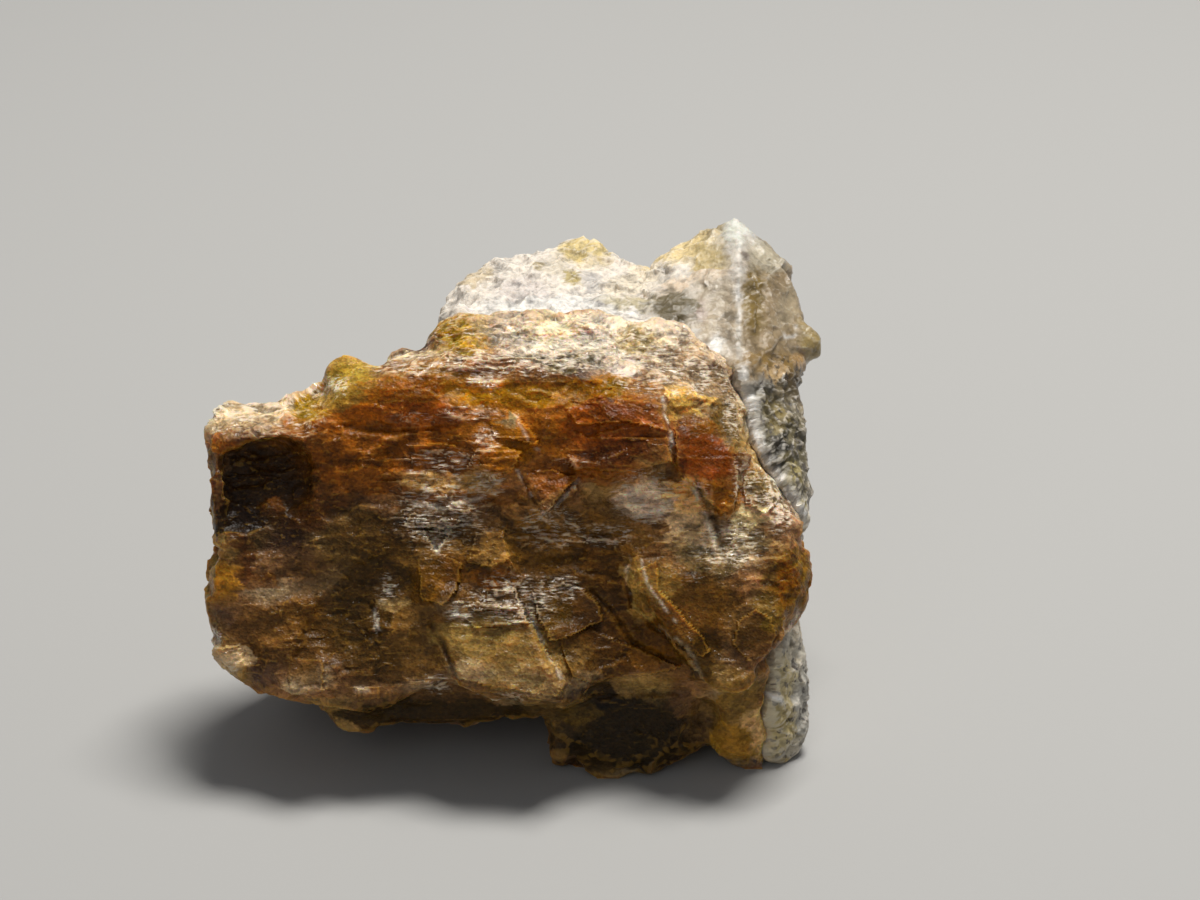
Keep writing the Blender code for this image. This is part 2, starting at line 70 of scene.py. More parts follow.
def to_world(places):
    """Places on the face, in millimetres, as world points, in metres."""
    return places * MM @ TURN.T + np.array(FACE_ORIGIN)


print("the face rises at", round(math.degrees(FACE_SLOPE)), "degrees")

# %% [markdown]
# ## The camera
# A small stone is best taken with a long lens from close by. The camera looks straight at the
# broad face, so its turn is the slope of the face, and its place is given on the face frame.
# A tracking constraint could aim it instead, but one matrix says the same thing exactly.

# %% Camera, looking straight at the broad face
EYE = Vector((4.29, 2.41, 160.7))
LENS = 100
camera = bpy.data.objects.new("camera", bpy.data.cameras.new("camera"))
bpy.context.scene.collection.objects.link(camera)
bpy.context.scene.camera = camera
camera.data.lens = LENS
camera.data.clip_start = MM
camera.matrix_world = FACE_FRAME @ Matrix.Translation(EYE * MM)
print("camera stands", round(camera.location.length / MM), "mm from the specimen's foot")

# %% [markdown]
# ## Floor, world and lights
# The specimen stands on pale card. A soft key lamp hangs above and a little behind it, so that
# the top glows and every small step on the face catches a thin glint. A weak lamp in front keeps
# the dark hollows readable. Sun lamps would be simpler, but their hard shadows suit no studio.

# %% Floor and world
FLOOR_SIZE = 4.0
FLOOR_GREY = (0.36, 0.36, 0.355, 1)
FLOOR_ROUGHNESS = 0.8
SKY = (0.80, 0.82, 0.85, 1)
SKY_STRENGTH = 0.20


def new_material(name):
    """A new material, its node tree and the Principled BSDF in it."""
    made = bpy.data.materials.new(name)
    made.use_nodes = True
    return made, made.node_tree, made.node_tree.nodes["Principled BSDF"]


bpy.ops.mesh.primitive_plane_add(size=FLOOR_SIZE)
floor = bpy.context.active_object
floor.name = "floor"
card, _, shader = new_material("pale_card")
shader.inputs["Base Color"].default_value = FLOOR_GREY
shader.inputs["Roughness"].default_value = FLOOR_ROUGHNESS
floor.data.materials.append(card)

world = bpy.data.worlds.new("studio")
bpy.context.scene.world = world
world.use_nodes = True
sky = world.node_tree.nodes["Background"]
sky.inputs["Color"].default_value = SKY
sky.inputs["Strength"].default_value = SKY_STRENGTH
bpy.context.scene.view_settings.view_transform = "Standard"
print("floor is", FLOOR_SIZE, "m wide")

# %% Lamps
# name: place in metres, size in metres, power in watts, colour
LAMPS = {
    "key": ((0.06, 0.075, 0.34), 0.12, 1.7, (1.0, 0.97, 0.92)),
    "front": ((-0.14, -0.40, 0.26), 0.30, 0.22, (0.98, 0.99, 1.0)),
}
for name, (place, size, power, colour) in LAMPS.items():
    lamp = bpy.data.objects.new(name, bpy.data.lights.new(name, "AREA"))
    bpy.context.scene.collection.objects.link(lamp)
    lamp.data.size = size
    lamp.data.energy = power
    lamp.data.color = colour
    lamp.location = place
    lamp.rotation_euler = (-Vector(place)).to_track_quat("-Z", "Y").to_euler()
print("lamps:", ", ".join(LAMPS))

# %% [markdown]
# ## A fine skin to work on
# A packed stone has a few thousand large triangles. Steps a tenth of a millimetre high need a
# much finer, even mesh. A voxel remesh gives one in a single move and closes the surface, while
# a Subdivision Surface would round off the broken edges. The side that faces the viewer is then
# split once more, so that most of the faces go where the finest detail is.

# %% Reskin a stone and split its front
def reskinned(node, name, cell):
    """A copy of a frame stone as one even, closed mesh with cells of this size in millimetres."""
    piece = bpy.data.objects.new(name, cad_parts[node].data.copy())
    bpy.context.scene.collection.objects.link(piece)
    skin = piece.modifiers.new("skin", "REMESH")
    skin.mode = "VOXEL"
    skin.voxel_size = cell * MM
    ready = piece.evaluated_get(bpy.context.evaluated_depsgraph_get())
    piece.data = bpy.data.meshes.new_from_object(ready)
    piece.modifiers.clear()
    piece.data.materials.clear()
    return piece


def split_front(piece, least_facing, lowest):
    """Halve the cells that face the viewer and lie above a depth behind the face."""
    mesh = bmesh.new()
    mesh.from_mesh(piece.data)
    view = Vector(TURN[:, 2])
    chosen = set()
    for face in mesh.faces:
        depth = (face.calc_center_median() - FACE_ORIGIN).dot(view) / MM
        if face.normal.dot(view) > least_facing and depth > lowest:
            chosen.update(face.edges)
    bmesh.ops.subdivide_edges(mesh, edges=list(chosen), cuts=1, use_grid_fill=True)
    bmesh.ops.triangulate(mesh, faces=mesh.faces[:])
    mesh.to_mesh(piece.data)
    mesh.free()


CRYSTAL_CELL = 0.215
crystal = reskinned("herderite_crystal", "herderite_crystal_skin", CRYSTAL_CELL)
split_front(crystal, least_facing=0.6, lowest=-2.5)
print("crystal skin:", len(crystal.data.vertices), "points", len(crystal.data.polygons), "faces")

# %% [markdown]
# ## Reading and moving points
# Displacing a mesh in code gives full control over where each step goes. Blender can hand all
# its points over at once as one array, which is far quicker than a loop over vertices. The
# normals come with them, because a broken surface moves along its own normal.

# %% Points, normals and soft limits
def read(mesh, what):
    """Every vertex's "co" or "normal" as an array."""
    values = np.empty(len(mesh.vertices) * 3)
    mesh.vertices.foreach_get(what, values)
    return values.reshape(-1, 3)


def write(mesh, places):
    """Moves every vertex to its place on the face frame."""
    mesh.vertices.foreach_set("co", to_world(places).ravel())
    mesh.update()


def fade(low, high, values):
    """0 below low, 1 above high and a smooth slope between them."""
    part = np.clip((values - low) / (high - low), 0, 1)
    return part * part * (3 - 2 * part)


def between(start, full, end, gone, values):
    """1 from full to end, 0 before start and past gone, with smooth slopes."""
    return fade(start, full, values) * (1 - fade(end, gone, values))


places = to_face(read(crystal.data, "co"))
facing = read(crystal.data, "normal") @ TURN
print("crystal measures", np.round(np.ptp(places, axis=0), 1), "mm in its face frame")

# %% [markdown]
# ## Places the frame keeps plain
# The frame cuts the dark recess at the left as a deep pocket behind a broad rim. On the real
# crystal it is shallow and its rim is thin, and the sugary ledge over it sits a little lower.
# This is put right before any detail goes on, because all later steps start from these places.
# Soft limits keep the skin whole around them.

# %% Lower the ledge, fill the recess, thin its rim
LEDGE_DROP = 0.4
LEDGE_END = (-10.4, -8.4)
LEDGE_FOOT = (1.8, 3.0)
RECESS_FLOOR = -0.9
RECESS_FILL = 0.6
RECESS_X = (-14.2, -13.7, -9.5, -8.5)
RECESS_Y = (-2.2, -1.6, 2.9, 3.3)
RECESS_BACK = (-3.6, -3.1)
RIM_FOOT = (-3.5, -2.0)
RIM_FROM = (-15.4, -14.6, -13.9, -13.4, -12.4)
RIM_TO = (-14.95, -14.35, -14.1, -13.75, -12.4)
x, y, z = places.T.copy()
y -= LEDGE_DROP * (1 - fade(*LEDGE_END, x)) * fade(*LEDGE_FOOT, y)
pocket = between(*RECESS_X, x) * between(*RECESS_Y, y) * fade(*RECESS_BACK, z)
z -= RECESS_FILL * pocket * np.minimum(z - RECESS_FLOOR, 0)
x += fade(*RIM_FOOT, y) * (x < RIM_FROM[-1]) * (np.interp(x, RIM_FROM, RIM_TO) - x)
write(crystal.data, np.column_stack([x, y, z]))
places = to_face(read(crystal.data, "co"))
facing = read(crystal.data, "normal") @ TURN
print("recess now at most", round(float(-z[pocket > 0.9].min()), 1), "mm deep")

# %% [markdown]
# ## Noise and broken facets
# Stone breaks in two ways. Grains and stains wander, which gradient noise imitates. Cleavage
# leaves small flat planes that meet in sharp edges, and those come from a Voronoi pattern: each
# point belongs to its nearest seed, and each seed tilts and lifts its own little plane. Noise
# alone would give a melted look, so most of the relief below is made of such planes.

# %% Wandering noise
def wander(points, size, seed):
    """Smooth noise from -1 to 1 with bumps of this size."""
    return np.array([noise.noise(p) for p in (points / size + seed).tolist()])


def swirls(points, reach, size, *seeds):
    """Wandering shifts up to this reach, one column for each seed. They bend straight borders."""
    return reach * np.column_stack([wander(points, size, seed) for seed in seeds])


print("noise at one place:", round(float(wander(np.ones((1, 3)), 1.7, 0.0)[0]), 3))

# %% Little planes, scoops and grains
SPREAD = np.array([12.9898, 78.233, 37.719])
SCATTER = 43758.5453
STEEP = 0.6


def chance(seeds, turn):
    """A repeatable random number from -1 to 1 for each seed point."""
    return (np.sin(seeds @ SPREAD + turn) * SCATTER) % 1.0 * 2 - 1


def broken(points, size, hollow, tilt, lift, seed):
    """Height of facets of this size. Each has its own tilt and lift and may be hollowed like a
    shell. A neighbour may cut in where it is lower, down a steep little step."""
    scaled = points / size + seed
    seeds = np.array([noise.voronoi(p)[1] for p in scaled.tolist()])
    away = scaled[:, None, :] - seeds
    squares = (away ** 2).sum(axis=2)
    height = (hollow + STEEP) * squares - STEEP * squares[:, :1] + lift * chance(seeds, 0.0)
    height += tilt * sum(away[:, :, i] * chance(seeds, 1.0 + i) for i in range(3))
    return height.min(axis=1) * size


def breaks(points, layers):
    """Several layers of facets on top of one another."""
    return sum(broken(points, *layer) for layer in layers)


def grains(points, size, seed):
    """Rounded sugar-like grains from 0 in the seams to 1 on their tops."""
    tops = [1 - noise.voronoi(p)[0][0] for p in (points / size + seed).tolist()]
    return np.clip(np.array(tops), 0, 1)


print("one grain's height:", round(float(grains(np.ones((1, 3)), 1.7, 0.0)[0]), 3))

# %% [markdown]
# ## Patches and strokes
# The stone's own features have places: a golden spot here, a pale crack there. A patch is a soft
# oval on the face, and a stroke is a line of a few points with a width. Both are worked out from
# distances, so that one pair of functions serves relief, colour and frost. Painting by hand in
# Texture Paint would need an image. Because the camera looks straight at the face, places are
# taken on a plan, where what lies deeper is drawn in towards the middle as the eye sees it.

# %% Soft ovals and lines on the plan
def plan_of(points):
    """Where the eye sees each place on a plane through the face, as x and y in millimetres."""
    eye = np.array(EYE[:2])
    return eye + (points[:, :2] - eye) / (1 - points[:, 2:3] / EYE.z)


def oval(plan, x, y, reach_x, reach_y, turn, softness):
    """1 inside a soft oval, 0 outside it. Its long side may be turned, in degrees."""
    angle = math.radians(turn)
    dx = plan[:, 0] - x
    dy = plan[:, 1] - y
    along = (dx * math.cos(angle) + dy * math.sin(angle)) / reach_x
    across = (dy * math.cos(angle) - dx * math.sin(angle)) / reach_y
    return 1 - fade(1 - softness, 1 + softness, np.hypot(along, across))


def covering(plan, ovals):
    """The most that any of these ovals covers each point of the plan. An oval is x, y, reach_x
    and reach_y, with a strength after them where it is weaker than 1."""
    cover = np.zeros(len(plan))
    for x, y, reach_x, reach_y, *strength in ovals:
        cover = np.maximum(cover, math.prod(strength) * oval(plan, x, y, reach_x, reach_y, 0, 0.5))
    return cover


def distance_to(plan, line):
    """How far each point of the plan is from a line through these corners."""
    nearest = np.full(len(plan), np.inf)
    for start, end in zip(line, line[1:]):
        start, run = np.array(start), np.subtract(end, start)
        part = np.clip(((plan - start) @ run) / (run @ run), 0, 1)
        nearest = np.minimum(nearest, np.hypot(*(plan - start - part[:, None] * run).T))
    return nearest


def inside(plan, outline):
    """True where a point of the plan lies within a closed outline."""
    found = np.zeros(len(plan), bool)
    x, y = plan.T
    for (ax, ay), (bx, by) in zip(outline, outline[1:] + outline[:1]):
        if ay != by:
            crosses = ((ay > y) != (by > y)) & (x < (bx - ax) * (y - ay) / (by - ay) + ax)
            found ^= crosses
    return found


plan = plan_of(places)
print("plan runs from", np.round(plan.min(axis=0), 1), "to", np.round(plan.max(axis=0), 1))

# %% [markdown]
# ## Growth steps on the broad face
# Herderite's face is crossed by long level striations: the crystal grew in thin sheets, and each
# sheet ends in a tread that looks up. A saw-tooth along the height gives exactly that: the
# surface leans out going down, then steps back. The rows wander a little and come and go, so
# their height is multiplied by where the real steps are strong.

# %% Level striations
STEPPED = [
    # x, y, reach_x, reach_y, strength
    (-3.4, -0.4, 2.2, 1.5, 0.9), (-3.0, 3.0, 3.4, 1.0, 0.9), (-2.6, 1.6, 3.6, 1.1, 1.0),
    (-7.5, 1.6, 3.2, 1.4, 0.5), (1.6, 6.6, 3.6, 0.7, 1.0), (-3.0, 6.1, 3.2, 0.5, 0.9),
    (6.2, 6.2, 2.6, 0.8, 0.9), (-0.4, -5.3, 1.4, 1.5, 1.0), (2.6, -4.6, 1.6, 0.9, 0.8),
    (3.8, -1.8, 2.2, 0.5, 0.9), (6.8, 0.3, 1.8, 0.8, 0.9), (9.6, -2.2, 2.6, 0.9, 0.8),
    (-11.6, -6.8, 1.4, 0.5, 0.6),
]
ELSEWHERE = 0.22
TEETH = [
    # size in millimetres, share of it that shows, shift
    (0.62, 0.20, 0.0), (0.27, 0.24, 0.2),
]


def teeth(rows, size):
    """A saw-tooth of this size in millimetres that leans out and steps back."""
    return (rows / size) % 1.0 * size


def striations(points, plan):
    """How far the growth steps stand out, in rows that wander, come and go."""
    rows = points[:, 1] + 0.35 * wander(points * (0.25, 0.7, 0.25), 1.0, 4.2) + 0.04 * points[:, 0]
    strength = np.maximum(ELSEWHERE, covering(plan, STEPPED))
    patches = fade(-0.25, 0.3, wander(points * (0.45, 1.6, 0.45), 1.0, 9.1))
    return strength * patches * sum(share * teeth(rows + shift, size) for size, share, shift in TEETH)


front = fade(0.3, 0.7, facing[:, 2]) * fade(-3.2, -2.0, places[:, 2])
steps = striations(places, plan) * front
print("highest growth step:", round(float(steps.max()), 2), "mm")

# %% [markdown]
# ## Flakes and cracks
# Where the crystal was struck, thin flakes stayed on and cracks opened. A flake is an outline
# with a slanted top: it rises out of the face along one side and ends in a sharp step on the
# other. A crack is a narrow groove. Each is one line in a list, so another one is easily added.

# %% Flakes that stand on the face
FLAKES = {
    # outline; a point on its top: x, y, lift; how fast it rises along x and along y
    "chip_tip": ([(-1.3, 4.1), (-0.5, 4.5), (0.2, 4.1), (1.0, 3.3), (1.3, 2.6), (0.3, 2.9), (-0.8, 3.0)],
                 (0.0, 4.1, 0.12), 0.10, -0.10),
    "chip_foot": ([(-2.2, 1.5), (-1.6, 2.4), (-0.6, 2.6), (0.6, 2.3), (0.1, 1.4), (-1.0, 1.0)],
                  (-1.0, 2.5, 0.10), 0.04, -0.16),
    "arrow_flake": ([(0.4, 1.2), (1.9, 1.5), (3.2, 1.1), (2.2, 0.0), (1.6, -0.8), (1.0, 0.2)],
                    (1.8, 1.3, 0.12), 0.05, -0.14),
    "block_top": ([(2.6, 4.4), (5.0, 5.0), (7.2, 4.7), (7.4, 3.4), (5.4, 3.8), (3.2, 3.6)],
                  (5.0, 4.8, 0.10), 0.02, -0.12),
    "block_foot": ([(2.4, 3.0), (7.5, 3.1), (7.7, 1.9), (6.0, 1.3), (3.0, 1.5)],
                   (5.0, 3.0, 0.10), 0.05, -0.10),
    "tongue_flake": ([(7.9, 3.6), (9.8, 3.8), (10.8, 2.0), (11.0, 0.4), (10.5, -1.0), (9.3, 0.4),
                      (8.0, 1.3)], (8.2, 2.6, 0.22), -0.06, -0.08),
    "olive_flake": ([(11.2, 1.1), (12.4, 1.2), (13.1, 0.2), (12.2, -0.7), (11.3, -0.1)],
                    (12.0, 0.9, 0.14), 0.04, -0.12),
    "wedge_steps_high": ([(-2.3, -4.4), (0.2, -4.2), (0.5, -5.2), (-1.9, -5.3)],
                         (-1.0, -4.4, 0.10), 0.10, -0.14),
    "wedge_steps_low": ([(-2.6, -5.2), (0.5, -5.0), (0.9, -5.9), (-1.8, -6.2)],
                        (-1.0, -5.2, 0.10), 0.12, -0.16),
    "wedge_plate": ([(-3.7, -5.9), (-2.1, -5.9), (0.7, -5.5), (1.5, -6.9), (2.7, -8.9), (2.2, -9.5),
                     (-0.5, -9.1), (-2.5, -8.6)], (-1.5, -6.2, 0.06), 0.03, -0.05),
    "side_plate": ([(0.9, -4.0), (3.0, -4.0), (4.2, -4.9), (4.4, -5.8), (2.8, -6.6), (1.9, -6.8),
                    (1.3, -5.6)], (2.0, -4.2, 0.08), 0.03, -0.08),
    "low_plate": ([(2.3, -6.6), (3.9, -6.2), (6.6, -7.4), (8.2, -8.1), (5.6, -8.6), (4.0, -8.9),
                   (3.0, -8.5)], (4.0, -6.6, 0.08), 0.03, -0.10),
    "shell_plate": ([(6.1, -3.4), (7.0, -2.9), (7.2, -4.4), (8.9, -6.2), (9.6, -7.2), (9.2, -7.6),
                     (7.7, -6.8), (6.2, -5.2)], (7.0, -4.0, 0.22), 0.10, 0.02),
    "disc": ([(10.9, -5.8), (11.8, -5.3), (12.6, -5.6), (12.8, -6.5), (12.4, -7.4), (11.4, -7.8),
              (10.7, -7.0)], (11.8, -6.4, 0.16), 0.02, 0.05),
    "knuckle_flake": ([(-4.6, -2.9), (-3.4, -2.6), (-2.4, -3.0), (-2.6, -4.3), (-3.3, -5.1), (-4.3, -4.8)],
                      (-3.4, -3.0, 0.12), 0.04, -0.10),
    "olive_step_flake": ([(-1.7, -1.6), (-0.3, -1.5), (0.0, -2.8), (-1.0, -3.3), (-2.2, -3.0)],
                         (-1.0, -1.7, 0.12), 0.08, -0.10),
    "corner_plate": ([(-10.8, -7.6), (-9.1, -7.7), (-9.0, -9.3), (-10.6, -9.3)],
                     (-9.8, -8.0, 0.14), 0.08, -0.05),
    "corner_round": ([(-14.2, -7.1), (-13.2, -7.0), (-12.7, -8.0), (-13.0, -8.6), (-13.8, -8.1)],
                     (-13.5, -7.6, 0.16), 0.06, 0.05),
    "little_square": ([(-7.4, -9.1), (-6.3, -9.0), (-6.3, -9.6), (-7.4, -9.6)],
                      (-6.9, -9.2, 0.14), 0.05, 0.0),
}


def flakes(plan):
    """How far the flakes stand out at each point of the plan."""
    lift = np.zeros(len(plan))
    for outline, (x, y, height), rise_x, rise_y in FLAKES.values():
        top = height + rise_x * (plan[:, 0] - x) + rise_y * (plan[:, 1] - y)
        lift = np.maximum(lift, np.where(inside(plan, outline), top, 0))
    return lift


print(len(FLAKES), "flakes stand up to", round(float(flakes(plan).max()), 2), "mm")

# %% Cracks that run into the face
CRACKS = {
    # line; width and depth in millimetres
    "block_side": ([(7.3, 4.9), (7.6, 3.5), (7.75, 2.6), (7.9, 1.7)], 0.14, 0.16),
    "tongue_side": ([(8.9, 0.9), (9.5, -0.4), (10.0, -1.6), (10.2, -2.6)], 0.16, 0.22),
    "arrow_left": ([(0.3, 1.4), (0.9, 0.3), (1.5, -0.8)], 0.12, 0.14),
    "arrow_right": ([(3.3, 1.2), (2.5, 0.1), (1.9, -0.9)], 0.12, 0.14),
    "trough_top": ([(-5.0, 0.2), (-3.4, -0.1), (-1.6, 0.2), (0.6, -0.2)], 0.16, 0.16),
    "wedge_left": ([(-3.9, -5.9), (-3.3, -6.9), (-2.9, -7.9), (-2.6, -8.6)], 0.14, 0.20),
    "wedge_right": ([(0.5, -5.1), (1.1, -6.0), (1.7, -7.4), (2.4, -8.6)], 0.14, 0.20),
    "shell_left": ([(5.6, -2.7), (5.5, -3.6), (5.9, -5.2), (7.2, -6.3), (8.6, -7.2), (9.5, -8.9)],
                   0.18, 0.26),
    "left_crack": ([(-6.65, -5.2), (-6.45, -6.4)], 0.14, 0.12),
    "mid_level": ([(0.4, -1.6), (2.4, -1.4), (4.6, -1.7), (6.0, -1.5)], 0.16, 0.16),
    "foot_seam": ([(3.0, -9.9), (5.6, -9.2), (8.4, -9.3)], 0.2, 0.2),
    "band_edge": ([(-8.2, 3.6), (-5.4, 3.2), (-2.6, 3.6)], 0.12, 0.10),
    "side_seam": ([(3.9, -4.4), (4.7, -5.2), (5.9, -6.9), (7.2, -7.6)], 0.14, 0.16),
}
PIT = [(-4.25, -1.35), (-3.0, -1.35), (-3.55, -2.5)]
PIT_DEPTH = 0.28


def cracks(plan):
    """How deep the cracks are at each point of the plan."""
    depth = np.where(inside(plan, PIT), PIT_DEPTH, 0.0)
    for line, width, deepest in CRACKS.values():
        depth = np.maximum(depth, deepest * np.exp(-((distance_to(plan, line) / width) ** 2)))
    return depth


print(len(CRACKS), "cracks and one three-cornered pit")

# %% [markdown]
# ## Put the crystal's relief together
# Large planes come first, then smaller ones on top of them, as a real break has chips upon
# chips. The crest and the left ledge are different: they crumbled into sugary grains. The relief
# moves each point along its normal, apart from flakes and cracks, which follow the face.

# %% Where it is smooth and where it crumbles
SMOOTH = [
    # x, y, reach_x, reach_y
    (-0.6, -7.3, 2.4, 1.7), (8.4, -5.6, 2.4, 2.6), (11.8, -6.4, 1.0, 1.2), (3.4, -5.6, 1.4, 1.4),
    (-3.5, -3.9, 1.0, 1.2), (9.3, 2.2, 1.2, 1.6), (11.4, -10.8, 1.8, 2.0), (5.6, -11.4, 3.4, 1.8),
    (-13.2, -5.0, 1.0, 2.0), (-8.0, 6.2, 2.2, 1.6), (-9.9, -8.3, 0.9, 0.8), (-3.4, -10.3, 5.6, 0.8),
    (0.0, 3.0, 1.0, 1.2),
]
CREST_RISE, CREST_START = (5.9, 6.8), (-4.5, -3.0)
LEDGE_RISE, LEDGE_STOP = (2.6, 3.2), (-9.6, -8.2)


def crumbled(plan, facing):
    """1 on top of the crest and of the left ledge, where the stone broke into grains."""
    crest = fade(*CREST_RISE, plan[:, 1]) * fade(*CREST_START, plan[:, 0])
    ledge = fade(*LEDGE_RISE, plan[:, 1]) * (1 - fade(*LEDGE_STOP, plan[:, 0]))
    return np.maximum(crest, ledge) * fade(-0.2, 0.3, facing[:, 1])


crumbly = crumbled(plan, facing)
print(round(float((crumbly > 0.5).mean()) * 100), "% of the points lie on crumbled stone")

# %% Shape the crystal
CALMED = 0.8
CRYSTAL_BREAKS = [
    # stretch; size, hollow, tilt, lift and seed; how much less of it the broad face shows
    ((0.8, 1.25, 1.0), (2.4, 0.05, 0.16, 0.08, 3.1), 0.65),
    ((0.75, 1.3, 1.0), (1.1, 0.03, 0.15, 0.06, 8.4), 0.4),
    ((0.7, 1.4, 1.0), (0.5, 0.02, 0.13, 0.03, 5.9), 0.0),
]
SOLE = 0.6


def shape_crystal(places, facing):
    """The crystal's places with their relief."""
    seen = plan_of(places)
    ragged = seen + swirls(places, 0.10, 0.9, 1.3, 7.7)
    bent = places + swirls(places, 0.15, 0.9, 2.6, 5.2, 9.8)
    relief = sum((1 - less * front) * broken(bent * stretch, *facets)
                 for stretch, facets, less in CRYSTAL_BREAKS)
    relief += crumbly * (0.22 * grains(places, 0.8, 2.2) + 0.10 * grains(places, 0.4, 6.1))
    relief += 0.015 * wander(places, 0.3, 13.0)
    calm = 1 - CALMED * covering(seen, SMOOTH) * front
    moved = places + facing * (calm * (relief - relief.mean()))[:, None]
    moved[:, 2] += front * (steps + flakes(ragged) - cracks(ragged))
    return moved


def grounded(before, after):
    """Places after shaping, with whatever rests on the floor left where it was."""
    before, after = to_world(before), to_world(after)
    free = fade(0.0, SOLE * MM, before[:, 2])[:, None]
    after = after * free + before * (1 - free)
    after[:, 2] = np.maximum(after[:, 2], 0)
    return to_face(after)


shaped = shape_crystal(places, facing)
write(crystal.data, grounded(places, shaped))
print("crystal relief moved points by up to", round(float(np.abs(shaped - places).max()), 2), "mm")
